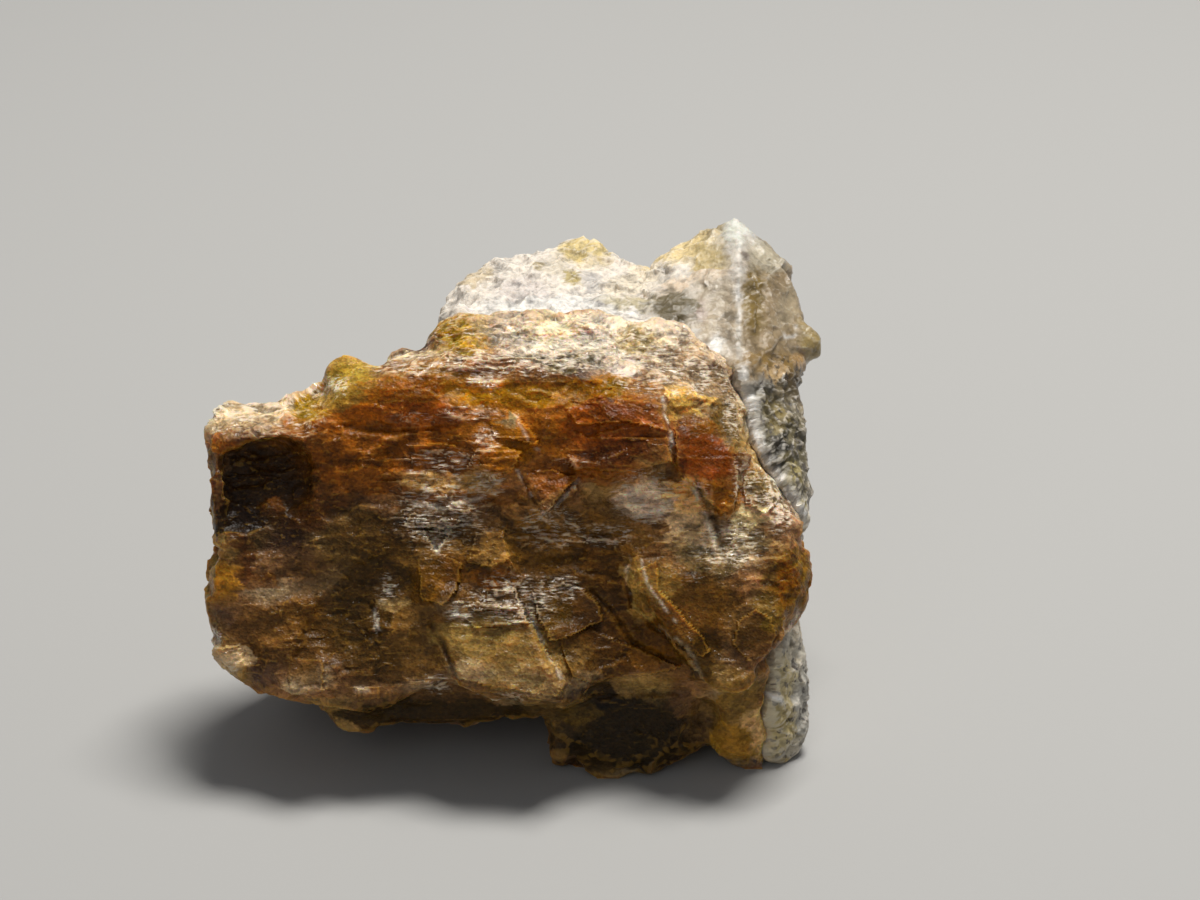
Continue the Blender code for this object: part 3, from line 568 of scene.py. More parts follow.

# %% [markdown]
# ## The crystal's stains
# Herderite is honey-coloured where it is thin and clean, and almost black where cracks and iron
# stains stop the light. The colours are painted as soft ovals with ragged edges, in the order in
# which they cover each other. They go into a colour attribute, which the material then breaks up
# with finer noise. The ovals were placed one by one, but most of their colours weren't chosen by
# hand: a separate program fitted 85 of the 90 to colours that it measured.
# That is no way to follow. A few named colours, chosen by eye, would be better.

# %% Colours of the honey-brown stone
CRYSTAL_STAINS = [
    # name, x, y, reach_x, reach_y, turn, colour, strength
    ("face_upper", -3.0, 3.0, 9.0, 3.0, 0, (0.293, 0.088, 0.002), 0.9),
    ("face_lower", -2.0, -5.0, 9.0, 4.6, 0, (0.088, 0.036, 0.002), 0.8),
    ("ledge_sugar", -12.8, 4.2, 2.7, 0.95, 12, (0.382, 0.270, 0.137), 1.0),
    ("ledge_yellow", -9.9, 4.3, 0.9, 0.7, 20, (0.349, 0.198, 0.003), 0.9),
    ("lip_glow", -13.0, 2.75, 1.8, 0.20, 4, (0.480, 0.150, 0.010), 0.9),
    # Painted shade: the recess stains below are darkened partly for the stone's own dark colour and partly
    # to stand in for the shadow under the ledge's lip.
    ("recess_foot", -11.2, -1.2, 2.4, 1.4, 0, (0.006, 0.002, 0.002), 0.8),
    ("recess_right", -9.6, 0.8, 2.0, 2.2, 0, (0.088, 0.027, 0.002), 0.85),
    ("recess", -12.1, 0.9, 2.5, 2.3, 0, (0.028, 0.011, 0.002), 1.0),
    ("recess_tail", -13.1, -1.0, 1.0, 1.1, 0, (0.010, 0.004, 0.002), 0.85),
    ("recess_pink", -11.5, -0.1, 0.4, 0.5, -15, (0.202, 0.066, 0.009), 0.8),
    ("left_rim", -14.85, -2.0, 0.30, 5.2, 0, (0.200, 0.140, 0.035), 0.85),
    ("left_rim_pale", -14.75, 1.2, 0.20, 1.3, 0, (0.240, 0.190, 0.100), 0.8),
    ("corner_olive", -13.9, -3.8, 0.65, 1.1, 0, (0.400, 0.170, 0.008), 0.9),
    ("corner_glow", -12.9, -3.0, 0.55, 1.3, 0, (0.072, 0.018, 0.002), 0.9),
    ("corner_orange", -11.9, -3.9, 0.55, 0.5, 0, (0.110, 0.035, 0.002), 0.8),
    ("lower_left", -11.2, -6.4, 2.8, 1.6, 0, (0.100, 0.040, 0.002), 0.7),
    ("corner_pink", -13.5, -7.8, 0.75, 0.75, -40, (0.560, 0.397, 0.206), 0.9),
    ("corner_facet", -9.9, -8.3, 0.85, 0.75, 0, (0.074, 0.034, 0.005), 0.8),
    ("edge_green", -7.9, 5.9, 1.7, 1.0, 35, (0.292, 0.184, 0.021), 1.0),
    ("edge_orange", -4.6, 5.5, 2.4, 1.0, 12, (0.216, 0.092, 0.002), 0.9),
    ("crest_lump", -2.4, 7.7, 1.4, 1.0, 10, (0.279, 0.156, 0.003), 1.0),
    ("crest_sugar", 4.2, 7.8, 5.0, 1.25, -3, (0.566, 0.479, 0.362), 1.0),
    ("crest_honey", 2.0, 8.3, 1.5, 0.8, 0, (0.545, 0.444, 0.274), 0.9),
    ("crest_pink", 6.2, 7.6, 0.9, 0.7, 0, (0.281, 0.182, 0.027), 0.8),
    ("brow_right", 8.8, 5.9, 2.2, 1.8, -30, (0.245, 0.154, 0.073), 0.9),
    ("stripe_dark", 1.6, 6.75, 2.9, 0.38, -2, (0.054, 0.035, 0.002), 0.9),
    # Painted glint: a pale spot on the brow where the lamp's glints fall.
    ("brow_glint", 5.7, 6.4, 0.7, 0.6, 0, (0.366, 0.288, 0.246), 0.9),
    ("brow_cream", 8.4, 6.3, 1.2, 0.5, 0, (0.152, 0.094, 0.046), 0.8),
    ("amber_left", -5.2, 5.0, 2.8, 0.75, 5, (0.247, 0.071, 0.002), 0.8),
    ("amber_middle", -0.2, 5.1, 2.8, 0.75, 0, (0.371, 0.161, 0.002), 0.9),
    ("amber_right", 4.4, 5.3, 2.6, 0.65, -4, (0.257, 0.098, 0.002), 1.0),
    ("amber_spot", 5.1, 5.5, 0.45, 0.28, 0, (0.300, 0.149, 0.002), 0.9),
    ("red_band", -4.6, 3.9, 2.4, 0.9, 0, (0.235, 0.053, 0.002), 0.85),
    ("left_orange", -7.4, 3.9, 1.4, 0.6, 15, (0.389, 0.101, 0.002), 0.8),
    ("block", 5.0, 3.4, 2.6, 1.6, 0, (0.251, 0.055, 0.002), 0.95),
    ("block_brow", 5.3, 4.3, 1.5, 0.5, 0, (0.120, 0.028, 0.002), 0.8),
    ("block_dark", 5.4, 2.4, 2.0, 0.8, 0, (0.071, 0.017, 0.002), 0.9),
    ("block_foot", 4.4, 1.3, 2.6, 0.5, 0, (0.204, 0.052, 0.002), 0.8),
    ("block_gold", 8.3, 4.6, 0.95, 0.8, 0, (0.717, 0.414, 0.080), 0.9),
    ("tongue", 9.2, 2.0, 1.5, 1.9, 10, (0.158, 0.036, 0.002), 1.0),
    ("tongue_tip", 10.2, -0.1, 0.8, 1.0, 25, (0.235, 0.079, 0.002), 0.9),
    ("tongue_green", 9.6, 3.6, 0.9, 0.6, 0, (0.199, 0.078, 0.002), 0.7),
    ("brow_pink", 10.6, 4.2, 0.6, 1.8, 5, (0.067, 0.037, 0.003), 0.8),
    ("chip", -0.1, 3.0, 1.2, 1.3, 10, (0.315, 0.107, 0.002), 0.95),
    ("chip_pale", 0.0, 3.9, 0.7, 0.35, 0, (0.181, 0.186, 0.101), 0.7),
    ("arrow", 1.7, 0.9, 1.2, 0.9, 0, (0.157, 0.043, 0.002), 0.9),
    ("striated", -5.4, 1.8, 4.2, 1.5, 0, (0.177, 0.049, 0.002), 0.8),
    ("striated_dark", -3.0, 0.9, 2.4, 0.5, 0, (0.509, 0.282, 0.077), 0.7),
    ("greenish", -5.4, -1.6, 3.8, 1.2, 0, (0.048, 0.020, 0.002), 0.9),
    ("trough", 3.2, -1.9, 4.0, 1.9, 0, (0.167, 0.072, 0.009), 0.9),
    ("trough_mid", -3.9, -3.0, 2.2, 1.2, 0, (0.166, 0.078, 0.012), 0.6),
    ("night", -6.4, -5.4, 2.6, 3.4, 0, (0.053, 0.024, 0.003), 0.9),
    ("night_right", -4.4, -6.6, 1.2, 2.2, 15, (0.194, 0.092, 0.018), 0.8),
    ("beige_spot", -5.6, -5.0, 0.5, 0.25, 0, (0.341, 0.208, 0.071), 0.7),
    ("knuckle", -3.5, -3.9, 1.1, 1.3, -10, (0.130, 0.051, 0.002), 0.9),
    ("knuckle_orange", -2.7, -3.7, 0.5, 0.9, 0, (0.057, 0.018, 0.002), 0.7),
    ("olive_step", -0.9, -2.4, 0.95, 0.95, 0, (0.242, 0.122, 0.026), 0.9),
    ("dark_wedge", -0.9, -3.7, 0.9, 0.45, 0, (0.219, 0.068, 0.002), 0.9),
    ("purple", 4.0, -3.4, 1.7, 1.5, 0, (0.072, 0.027, 0.002), 0.9),
    ("side_tan", 1.9, -5.3, 1.1, 1.3, 0, (0.068, 0.032, 0.002), 0.8),
    ("right_brown", 4.6, -6.0, 1.7, 1.4, 0, (0.042, 0.015, 0.002), 0.8),
    ("low_orange", 4.6, -7.9, 1.8, 0.7, 10, (0.067, 0.025, 0.002), 0.9),
    ("low_gold", 6.6, -7.6, 1.1, 0.45, 10, (0.373, 0.143, 0.015), 0.8),
    ("wedge", -0.4, -7.2, 2.6, 1.9, -20, (0.230, 0.133, 0.032), 0.95),
    ("wedge_olive", -2.4, -6.6, 1.0, 0.8, 0, (0.366, 0.223, 0.053), 0.7),
    ("wedge_pale", 1.2, -8.7, 1.7, 0.8, -15, (0.336, 0.209, 0.078), 0.8),
    ("wedge_low", -1.8, -8.5, 1.2, 0.5, 0, (0.350, 0.244, 0.122), 0.7),
    ("shell", 8.3, -5.6, 2.6, 3.0, -40, (0.122, 0.045, 0.002), 0.9),
    ("shell_brown", 9.3, -3.9, 1.6, 1.1, 0, (0.062, 0.026, 0.002), 0.7),
    ("shell_bright", 7.2, -4.2, 0.9, 0.9, 0, (0.291, 0.159, 0.030), 0.9),
    ("shell_edge", 6.0, -4.4, 0.5, 1.5, 8, (0.543, 0.316, 0.074), 0.8),
    ("shell_low", 9.6, -7.6, 1.6, 1.3, -40, (0.051, 0.023, 0.002), 0.8),
    ("disc", 11.8, -6.4, 1.0, 1.2, 0, (0.058, 0.024, 0.002), 0.9),
    ("disc_olive", 12.6, -5.4, 0.9, 0.9, 0, (0.113, 0.068, 0.005), 0.7),
    ("right_mix", 10.2, -2.2, 2.4, 1.2, 0, (0.227, 0.156, 0.059), 0.7),
    # Partly painted glint: a whitish frost patch, brightened further to stand in for glints of the lamp.
    ("trough_frost_glint", 6.5, 0.1, 1.3, 0.75, 0, (0.880, 0.590, 0.370), 0.9),
    ("trough_beige", 8.4, 0.2, 1.1, 0.8, -10, (0.854, 0.429, 0.106), 0.8),
    ("trough_green", 8.7, -1.3, 1.1, 0.9, -20, (0.568, 0.371, 0.185), 0.8),
    ("right_tan", 11.4, -0.9, 0.8, 0.6, 0, (0.900, 0.673, 0.318), 0.7),
    ("right_olive", 12.5, 0.4, 0.7, 0.8, 20, (0.096, 0.056, 0.007), 0.9),
    ("bulge", 13.7, -3.9, 1.5, 1.5, 0, (0.132, 0.064, 0.002), 0.9),
    ("bulge_orange", 13.2, -4.0, 0.6, 1.1, 0, (0.203, 0.066, 0.002), 0.9),
    # Painted shade: the underside of the ledge, the centre foot and the dark spot at its top are painted
    # darker than their own dim grey-brown, as the shade under the overhang.
    ("under_ledge_shaded", -3.4, -10.3, 6.0, 0.9, 0, (0.033, 0.016, 0.002), 1.0),
    ("centre_foot_shaded", 5.6, -11.4, 3.9, 2.2, 0, (0.022, 0.012, 0.003), 1.0),
    ("foot_patch", 3.3, -10.5, 0.8, 0.6, 20, (0.105, 0.057, 0.008), 0.9),
    ("foot_shade", 4.2, -9.6, 1.0, 0.7, 20, (0.002, 0.002, 0.002), 0.8),
    ("right_foot", 11.4, -10.7, 2.2, 2.4, 0, (0.195, 0.106, 0.019), 1.0),
    ("right_foot_gold", 10.4, -11.3, 0.8, 0.8, 0, (0.356, 0.174, 0.017), 0.9),
    ("right_foot_beige", 12.2, -11.2, 0.9, 1.3, 0, (0.607, 0.371, 0.147), 0.9),
    ("right_foot_pink", 12.0, -12.9, 1.2, 0.35, 0, (0.075, 0.054, 0.065), 0.8),
]
print(len(CRYSTAL_STAINS), "stains on the crystal")

# %% [markdown]
# ## Lines along the breaks
# A fresh edge scatters light and shows as a pale thread, and an open crack shows as a dark one.
# The pale threads are partly painted glints too, where edges would catch the lamp.
# Each is a short line with a width, laid on by its distance as the cracks were. Small edges are
# found from the mesh further on, but the long ones have places, so they are drawn one by one.

# %% Pale and dark lines along its breaks
# The pale edge colour is partly the edge's own scatter and partly a painted glint.
PALE_EDGE_AND_GLINT = (0.72, 0.64, 0.52)
DARK_EDGE = (0.07, 0.035, 0.018)
CRYSTAL_LINES = [
    # line, width, colour, strength
    ([(7.3, 4.9), (7.6, 3.5), (7.75, 2.6), (7.9, 1.7)], 0.09, PALE_EDGE_AND_GLINT, 0.8),
    ([(8.9, 0.9), (9.5, -0.4), (10.0, -1.6)], 0.25, DARK_EDGE, 0.8),
    ([(8.6, 0.9), (9.2, -0.4), (9.7, -1.6), (10.0, -2.8)], 0.10, PALE_EDGE_AND_GLINT, 0.7),
    ([(0.3, 1.4), (0.9, 0.3), (1.5, -0.8)], 0.08, PALE_EDGE_AND_GLINT, 0.5),
    ([(3.3, 1.0), (2.5, 0.0), (1.9, -0.9)], 0.08, PALE_EDGE_AND_GLINT, 0.5),
    (PIT + PIT[:1], 0.09, PALE_EDGE_AND_GLINT, 0.9),
    ([(-5.1, -0.1), (-3.4, -0.4), (-1.5, 0.1)], 0.10, PALE_EDGE_AND_GLINT, 0.6),
    ([(5.7, -2.7), (5.5, -3.4), (5.8, -4.4)], 0.10, PALE_EDGE_AND_GLINT, 0.5),
    ([(6.3, -2.9), (6.5, -3.9), (7.0, -4.7), (7.9, -5.8)], 0.07, PALE_EDGE_AND_GLINT, 0.6),
    ([(7.2, -6.2), (8.4, -7.0), (9.0, -8.0), (9.4, -9.0)], 0.10, (0.45, 0.34, 0.20), 0.7),
    ([(0.5, -5.0), (1.1, -5.9), (1.7, -7.2), (2.5, -8.8)], 0.07, PALE_EDGE_AND_GLINT, 0.5),
    ([(-3.9, -5.9), (-3.3, -6.9), (-2.9, -7.9)], 0.18, DARK_EDGE, 0.7),
    ([(-6.6, -5.3), (-6.35, -6.3)], 0.07, PALE_EDGE_AND_GLINT, 0.8),
    ([(-7.4, -9.1), (-6.3, -9.1)], 0.14, (0.50, 0.38, 0.26), 0.8),
    ([(-12.7, -9.45), (-9.0, -9.55)], 0.10, (0.42, 0.20, 0.08), 0.7),
    ([(0.2, 4.1), (1.0, 2.6), (1.3, 2.4)], 0.06, PALE_EDGE_AND_GLINT, 0.4),
    ([(13.8, -5.4), (13.2, -6.7), (12.7, -7.7)], 0.10, PALE_EDGE_AND_GLINT, 0.7),
    # Partly painted light: this pale line along the seam follows the matrix's white ridge and also
    # lightens the shade in the crevice between the stones.
    ([(9.4, 7.4), (11.0, 6.0), (11.4, 4.4), (11.7, 3.2), (13.0, 0.8), (14.3, -1.2)],
     0.38, (0.62, 0.50, 0.36), 0.75),
]
print(len(CRYSTAL_LINES), "lines on the crystal")

# %% [markdown]
# ## A brush that follows the breaks
# A stain in stone stops at a crack or a facet's edge, so a plain soft oval looks airbrushed. This
# brush asks a Voronoi pattern which facet a point belongs to, and colours it mostly by what lies
# at that facet's middle, in two sizes at once. Each facet also gets a shade of its own. Blurred
# noise would be quicker to compute, but it has no facets.

# %% The brush
SHOWN = (-0.25, 0.1)
BY_FACETS = (0.5, 0.35, 0.15)
SMALL_FACET = 0.45
JOINT_WIDTH = 0.10
JOINT_TINT = (1.0, 1.1, 1.3)


def home(points, size, stretch, seed):
    """The middle of the facet that each point belongs to, in millimetres. Also 1 in the joint
    between two facets and 0 away from it, and a number from -1 to 1 that is the facet's own."""
    found = [noise.voronoi(p) for p in (points * stretch / size + seed).tolist()]
    middles = np.array([seeds[0] for _, seeds in found])
    joint = 1 - fade(0.0, JOINT_WIDTH, np.array([far[1] - far[0] for far, _ in found]))
    return (middles - seed) * size / stretch, joint, chance(middles, 5.5)


def laid_over(colour, stain, cover):
    """The colour with a stain over it, as far as it is covered."""
    return colour + (np.array(stain) - colour) * cover[:, None]


def painted(points, facing, colour, stains, lines, facet, stretch, joints):
    """Each point's colour: the first one, the stains over it and the lines over those. Joints
    are three shares: how far large and small facets differ, and how pale their joints are."""
    seen = plan_of(points)
    bent = points + swirls(points, 0.12, 0.7, 3.3, 6.8, 1.9)
    large, large_joint, large_own = home(bent, facet, stretch, 4.7)
    small, small_joint, small_own = home(bent, SMALL_FACET * facet, stretch, 9.2)
    by_facet = sum(share * plan for share, plan in zip(BY_FACETS, (plan_of(large), plan_of(small), seen)))
    ragged = seen + swirls(points, 0.06, 0.3, 2.9, 8.4)
    whole = fade(-0.35, 0.15, wander(points, 0.45, 14.6))
    shown = fade(*SHOWN, facing[:, 2])
    for _, x, y, reach_x, reach_y, turn, stain, strength in stains:
        cover = oval(by_facet, x, y, reach_x, reach_y, turn, 0.35)
        colour = laid_over(colour, stain, shown * strength * cover)
    colour = colour * (1 + joints[0] * large_own + joints[1] * small_own)[:, None]
    pale = joints[2] * np.maximum(large_joint, 0.7 * small_joint) * whole
    colour = colour + colour * pale[:, None] * JOINT_TINT
    for line, width, stain, strength in lines:
        cover = np.exp(-((distance_to(ragged, line) / width) ** 2))
        colour = laid_over(colour, stain, shown * whole * strength * cover)
    return colour


def zoned(points, base, zones):
    """A stone's own colour on every side: wandering zones laid over its base colour. A zone has
    one mask or more, each with a low and a high limit, a size and a seed, and then its colour."""
    colour = np.zeros((len(points), 3)) + base
    for *masks, stain in zones:
        cover = math.prod(fade(low, high, wander(points, size, seed)) for low, high, size, seed in masks)
        colour = laid_over(colour, stain, cover)
    return colour


print("facets colour", round(100 * sum(BY_FACETS[:2])), "% of each stain's edge")

# %% Paint the crystal
CRYSTAL_BASE = (0.22, 0.105, 0.040)
CRYSTAL_ZONES = [
    ((0.05, 0.45, (5.25, 3.23, 4.2), 21.0), (0.085, 0.045, 0.028)),
    ((0.08, 0.42, 3.1, 31.0), (0.34, 0.20, 0.06)),
    ((0.25, 0.60, 2.6, 41.0), (0.44, 0.32, 0.18)),
]
CRYSTAL_FACET = 1.2
CRYSTAL_STRETCH = np.array([0.75, 1.3, 1.0])
CRYSTAL_JOINTS = (0.18, 0.14, 0.22)
crystal_colour = painted(places, facing, zoned(places, CRYSTAL_BASE, CRYSTAL_ZONES), CRYSTAL_STAINS,
                         CRYSTAL_LINES, CRYSTAL_FACET, CRYSTAL_STRETCH, CRYSTAL_JOINTS)
print("mean colour of the crystal", np.round(crystal_colour.mean(axis=0), 2))

# %% [markdown]
# ## Frost, glow and the rest
# A few numbers more go with each point. Frost says how much the surface is shattered into tiny
# white glints, as on the stepped bands. There the colour also gets painted glints: white
# streaks that stand in for the lamp's highlights. Glow says how much light comes through, which
# is most along thin edges. Busy says how strongly the fine pattern shows, because clean plates
# stay calm. Ridge finds sharp edges, which look pale on any glassy stone. The material reads
# them as attributes. It could work them out itself, but only from noise, and these have places.

# %% Where it glows, where it is shattered and glints are painted, and where it is busy
GLOWING = [
    (-7.8, 6.0, 2.0, 1.0), (-4.0, 5.2, 3.4, 1.0), (1.0, 5.2, 6.2, 0.8), (9.2, 2.0, 1.5, 2.4),
    (13.6, -3.9, 1.6, 1.8), (-14.4, -3.0, 0.8, 4.5), (-2.4, 7.7, 1.6, 1.0), (2.0, 8.2, 1.8, 0.9),
    (-0.4, -7.4, 2.6, 2.2), (7.6, -4.6, 1.8, 2.0), (-13.4, 2.9, 2.0, 0.4), (11.6, -11.0, 1.8, 2.0),
]
FROST_AND_GLINT_OVALS = [
    # x, y, reach_x, reach_y, strength: where the surface is shattered and white glints are painted in
    (-3.4, -0.4, 2.0, 1.8, 0.65), (-1.2, 0.7, 0.9, 0.6, 0.9), (-3.2, 1.9, 1.6, 0.5, 0.6),
    (-1.2, 2.9, 0.6, 0.6, 0.8), (6.5, 0.1, 1.4, 1.1, 1.0), (8.6, 0.4, 0.9, 0.6, 0.6),
    (1.9, -1.4, 1.5, 1.0, 0.6), (4.4, -1.7, 1.6, 0.5, 0.6), (0.0, -4.8, 1.9, 1.2, 0.7),
    (-2.4, -5.4, 0.7, 0.6, 1.0), (2.6, -4.3, 0.8, 0.6, 0.7), (10.5, -2.2, 1.6, 1.2, 0.75),
    (12.9, 0.3, 0.8, 1.8, 1.0), (11.4, 0.8, 0.8, 1.4, 0.6), (-9.6, 5.4, 0.6, 0.5, 1.0),
    (-8.5, 5.5, 0.7, 0.5, 0.9), (-4.8, 7.8, 0.8, 0.5, 0.9), (-4.1, 6.6, 2.5, 0.6, 0.8),
    (-1.2, 5.8, 0.8, 0.5, 1.0), (0.7, 6.7, 4.2, 0.6, 1.0), (6.4, 5.6, 1.3, 0.4, 0.45),
    (-2.0, 4.2, 1.4, 0.4, 0.5), (5.7, 6.4, 0.9, 0.8, 1.0), (8.3, 6.0, 1.8, 1.0, 0.9),
    (5.0, 7.6, 4.6, 1.1, 0.75), (-12.8, 4.4, 2.8, 0.9, 0.9), (10.7, 4.6, 0.5, 1.6, 0.8),
    (-14.4, -6.7, 0.4, 0.5, 1.0), (-6.0, -4.3, 0.5, 0.7, 0.6), (-6.5, -5.8, 0.14, 0.6, 0.8),
    (-3.6, -8.9, 0.7, 0.5, 0.6), (-13.5, -7.7, 0.6, 0.5, 0.5), (12.9, -9.8, 0.5, 0.8, 0.6),
    (0.0, -9.4, 1.4, 0.15, 0.5), (-4.6, 3.9, 1.2, 0.3, 0.3), (3.4, 1.9, 1.2, 0.3, 0.3),
]
BUSY = [(0.5, -2.4, 5.2, 2.8), (-5.3, 1.4, 4.2, 2.0), (11.0, -1.8, 3.0, 3.0), (3.0, 7.4, 6.5, 1.4)]
# The crumbled crest and ledge get this share of frost and painted glints.
SUGARY_FROST_AND_GLINT = 0.35


def covered(points, facing, ovals):
    """The most that any of these ovals covers each point that faces the viewer."""
    return covering(plan_of(points), ovals) * fade(*SHOWN, facing[:, 2])


frosted = np.maximum(covered(places, facing, FROST_AND_GLINT_OVALS), SUGARY_FROST_AND_GLINT * crumbly)
busy = 0.5 + 0.6 * covered(places, facing, BUSY + FROST_AND_GLINT_OVALS) - 0.2 * covered(places, facing, SMOOTH)
print("frost covers", round(100 * float((frosted > 0.3).mean())), "% of the crystal")

# %% Keep numbers with the points
RIDGE = 0.03


def store(mesh, name, values):
    """Keeps one number, three numbers or a colour for each point as a named attribute."""
    kinds = {1: ("FLOAT", "value"), 3: ("FLOAT_VECTOR", "vector"), 4: ("FLOAT_COLOR", "color")}
    values = np.asarray(values, float).reshape(len(mesh.vertices), -1)
    kind, field = kinds[values.shape[1]]
    layer = mesh.attributes.new(name, kind, "POINT")
    layer.data.foreach_set(field, values.ravel())


def neighbours_mean(mesh, values):
    """What the points around each point hold, on average. Values have one row per point."""
    ends = np.empty(len(mesh.edges) * 2, int)
    mesh.edges.foreach_get("vertices", ends)
    a, b = ends.reshape(-1, 2).T
    total, count = np.zeros_like(values), np.zeros((len(values), 1))
    for one, other in ((a, b), (b, a)):
        np.add.at(total, one, values[other])
        np.add.at(count, one, 1)
    return total / count


def ridges(mesh):
    """How far each point stands above its neighbours, in ridge heights."""
    points = read(mesh, "co")
    above = ((points - neighbours_mean(mesh, points)) * read(mesh, "normal")).sum(axis=1)
    return above / (RIDGE * MM)


def keep(mesh, colour, places, **numbers):
    """Stores what a stone's material reads."""
    store(mesh, "stain", np.column_stack([colour, np.ones(len(places))]))
    store(mesh, "ridge", ridges(mesh))
    store(mesh, "place_mm", places)
    for name, values in numbers.items():
        store(mesh, name, values)


keep(crystal.data, crystal_colour, places, frost=frosted, glow=covered(places, facing, GLOWING), busy=busy)
print("attributes:", [a.name for a in crystal.data.attributes if not a.name.startswith(".")])

# %% [markdown]
# ## Short words for nodes
# Both finishes are node trees, and a node wired in code takes several lines. A few helpers make
# that one line: feed sets or links a socket, worked does sums, ramp bends a number, and mixed
# lays one colour over another. The node editor would do too, but code can be read and run again.
# The second set of helpers makes the patterns and the small bumps.

# %% Helpers that wire nodes
def add(tree, kind, **settings):
    """A new node with these settings."""
    node = tree.nodes.new(kind)
    for name, value in settings.items():
        setattr(node, name, value)
    return node


def feed(tree, socket, value):
    """Links a socket to this one, or sets it to a number or to three of them."""
    if isinstance(value, bpy.types.NodeSocket):
        tree.links.new(value, socket)
    elif socket.type == "RGBA":
        socket.default_value = (*value, 1)
    elif socket.type == "VECTOR" and not isinstance(value, tuple):
        socket.default_value = (value,) * 3
    else:
        socket.default_value = value


def attribute(tree, name, what="Fac"):
    """What the mesh keeps under this name."""
    return add(tree, "ShaderNodeAttribute", attribute_name=name).outputs[what]


def worked(tree, operation, *values, kind="ShaderNodeMath"):
    """Numbers or sockets worked out in one node."""
    made = add(tree, kind, operation=operation)
    for socket, value in zip(made.inputs, values):
        feed(tree, socket, value)
    return made.outputs[0]


def times(tree, one, other):
    return worked(tree, "MULTIPLY", one, other)


def ramp(tree, source, *stops):
    """A colour ramp with these (position, grey) stops."""
    made = add(tree, "ShaderNodeValToRGB")
    band = made.color_ramp
    while len(band.elements) < len(stops):
        band.elements.new(0.5)
    for element, (position, grey) in zip(band.elements, stops):
        element.position = position
        element.color = (grey, grey, grey, 1)
    feed(tree, made.inputs["Fac"], source)
    return made.outputs["Color"]


def mixed(tree, amount, under, over, blend="MIX"):
    """A colour laid over another. Amount and colours may be sockets or values."""
    made = add(tree, "ShaderNodeMix", data_type="RGBA", blend_type=blend)
    for socket, value in zip((made.inputs[0], made.inputs[6], made.inputs[7]), (amount, under, over)):
        feed(tree, socket, value)
    return made.outputs[2]


print("helpers that wire nodes are ready")

# %% Helpers for patterns and bumps
UP_THE_FACE = tuple(TURN[:, 1])
VECTORS = "ShaderNodeVectorMath"


def stretched(tree, places, stretch):
    """Places drawn out along each axis, for a pattern to lie on."""
    mapped = add(tree, "ShaderNodeMapping")
    feed(tree, mapped.inputs["Scale"], stretch)
    feed(tree, mapped.inputs["Vector"], places)
    return mapped.outputs["Vector"]


def texture(tree, places, stretch, scale, detail, rough):
    """Noise on the face frame."""
    made = add(tree, "ShaderNodeTexNoise")
    feed(tree, made.inputs["Scale"], scale)
    feed(tree, made.inputs["Detail"], detail)
    feed(tree, made.inputs["Roughness"], rough)
    feed(tree, made.inputs["Vector"], stretched(tree, places, stretch))
    return made.outputs["Fac"]


def crystals(tree, places, stretch, scale):
    """Small crystals: how high each place on them stands, and a random colour for each."""
    made = add(tree, "ShaderNodeTexVoronoi")
    feed(tree, made.inputs["Scale"], scale)
    feed(tree, made.inputs["Vector"], stretched(tree, places, stretch))
    return made.outputs["Distance"], made.outputs["Color"]


def red_of(tree, colour):
    """The red share of a colour. In crystals it is a random number for each of them."""
    parts = add(tree, "ShaderNodeSeparateColor")
    feed(tree, parts.inputs[0], colour)
    return parts.outputs[0]


def bumped(tree, height, distance, strength, under=None):
    """A bump that may lie on top of another one. The distance is in millimetres."""
    made = add(tree, "ShaderNodeBump")
    feed(tree, made.inputs["Distance"], distance * MM)
    feed(tree, made.inputs["Strength"], strength)
    feed(tree, made.inputs["Height"], height)
    if under:
        feed(tree, made.inputs["Normal"], under)
    return made.outputs["Normal"]


def glinting(tree, places, stretch, scale, tilt, under, lean, amount):
    """A normal that tilts its own way in every small cell, so that some cells catch the lamp.
    Lean and amount are sockets or numbers: how far every cell leans up the face as well, and
    what share of the tilt each place gets."""
    _, colour = crystals(tree, places, stretch, scale)
    turned = worked(tree, "MULTIPLY_ADD", colour, 2 * tilt, -tilt, kind=VECTORS)
    tilted = worked(tree, "MULTIPLY_ADD", turned, amount, under, kind=VECTORS)
    leaning = worked(tree, "MULTIPLY_ADD", lean, UP_THE_FACE, tilted, kind=VECTORS)
    return worked(tree, "NORMALIZE", leaning, kind=VECTORS)


print("up the face is", [round(share, 2) for share in UP_THE_FACE])

# %% [markdown]
# ## The honey stone's colour
# The stains give the large zones. Noise that is stretched along the face breaks them up, so that
# it reads as striation, and crystals of two sizes get a tint each. Sharp edges turn paler. Where
# there is frost, the edges and thin streaks are lifted to white as painted glints of the lamp. An
# image could hold all of this, but the stone would have to be unwrapped for it, and it would blur
# when one looks closely.

# %% Honey herderite: its colour
honey, tree, shader = new_material("honey_herderite")
frost, glow, busy, ridge = [attribute(tree, name) for name in ("frost", "glow", "busy", "ridge")]
spot = attribute(tree, "place_mm", "Vector")
level = texture(tree, spot, (0.8, 1.35, 0.9), 1.9, 7.0, 0.62)
cloudy = texture(tree, spot, (0.9, 1.1, 1.0), 1.1, 7.0, 0.66)
sparkle = texture(tree, spot, (0.32, 1.6, 0.6), 6.5, 4.0, 0.6)
patchy = texture(tree, spot, (0.8, 1.2, 1.0), 2.2, 2.0, 0.5)
grit, grit_colour = crystals(tree, spot, (0.8, 1.3, 1.0), 2.3)
sugar, sugar_colour = crystals(tree, spot, (1.0, 1.2, 1.0), 7.5)

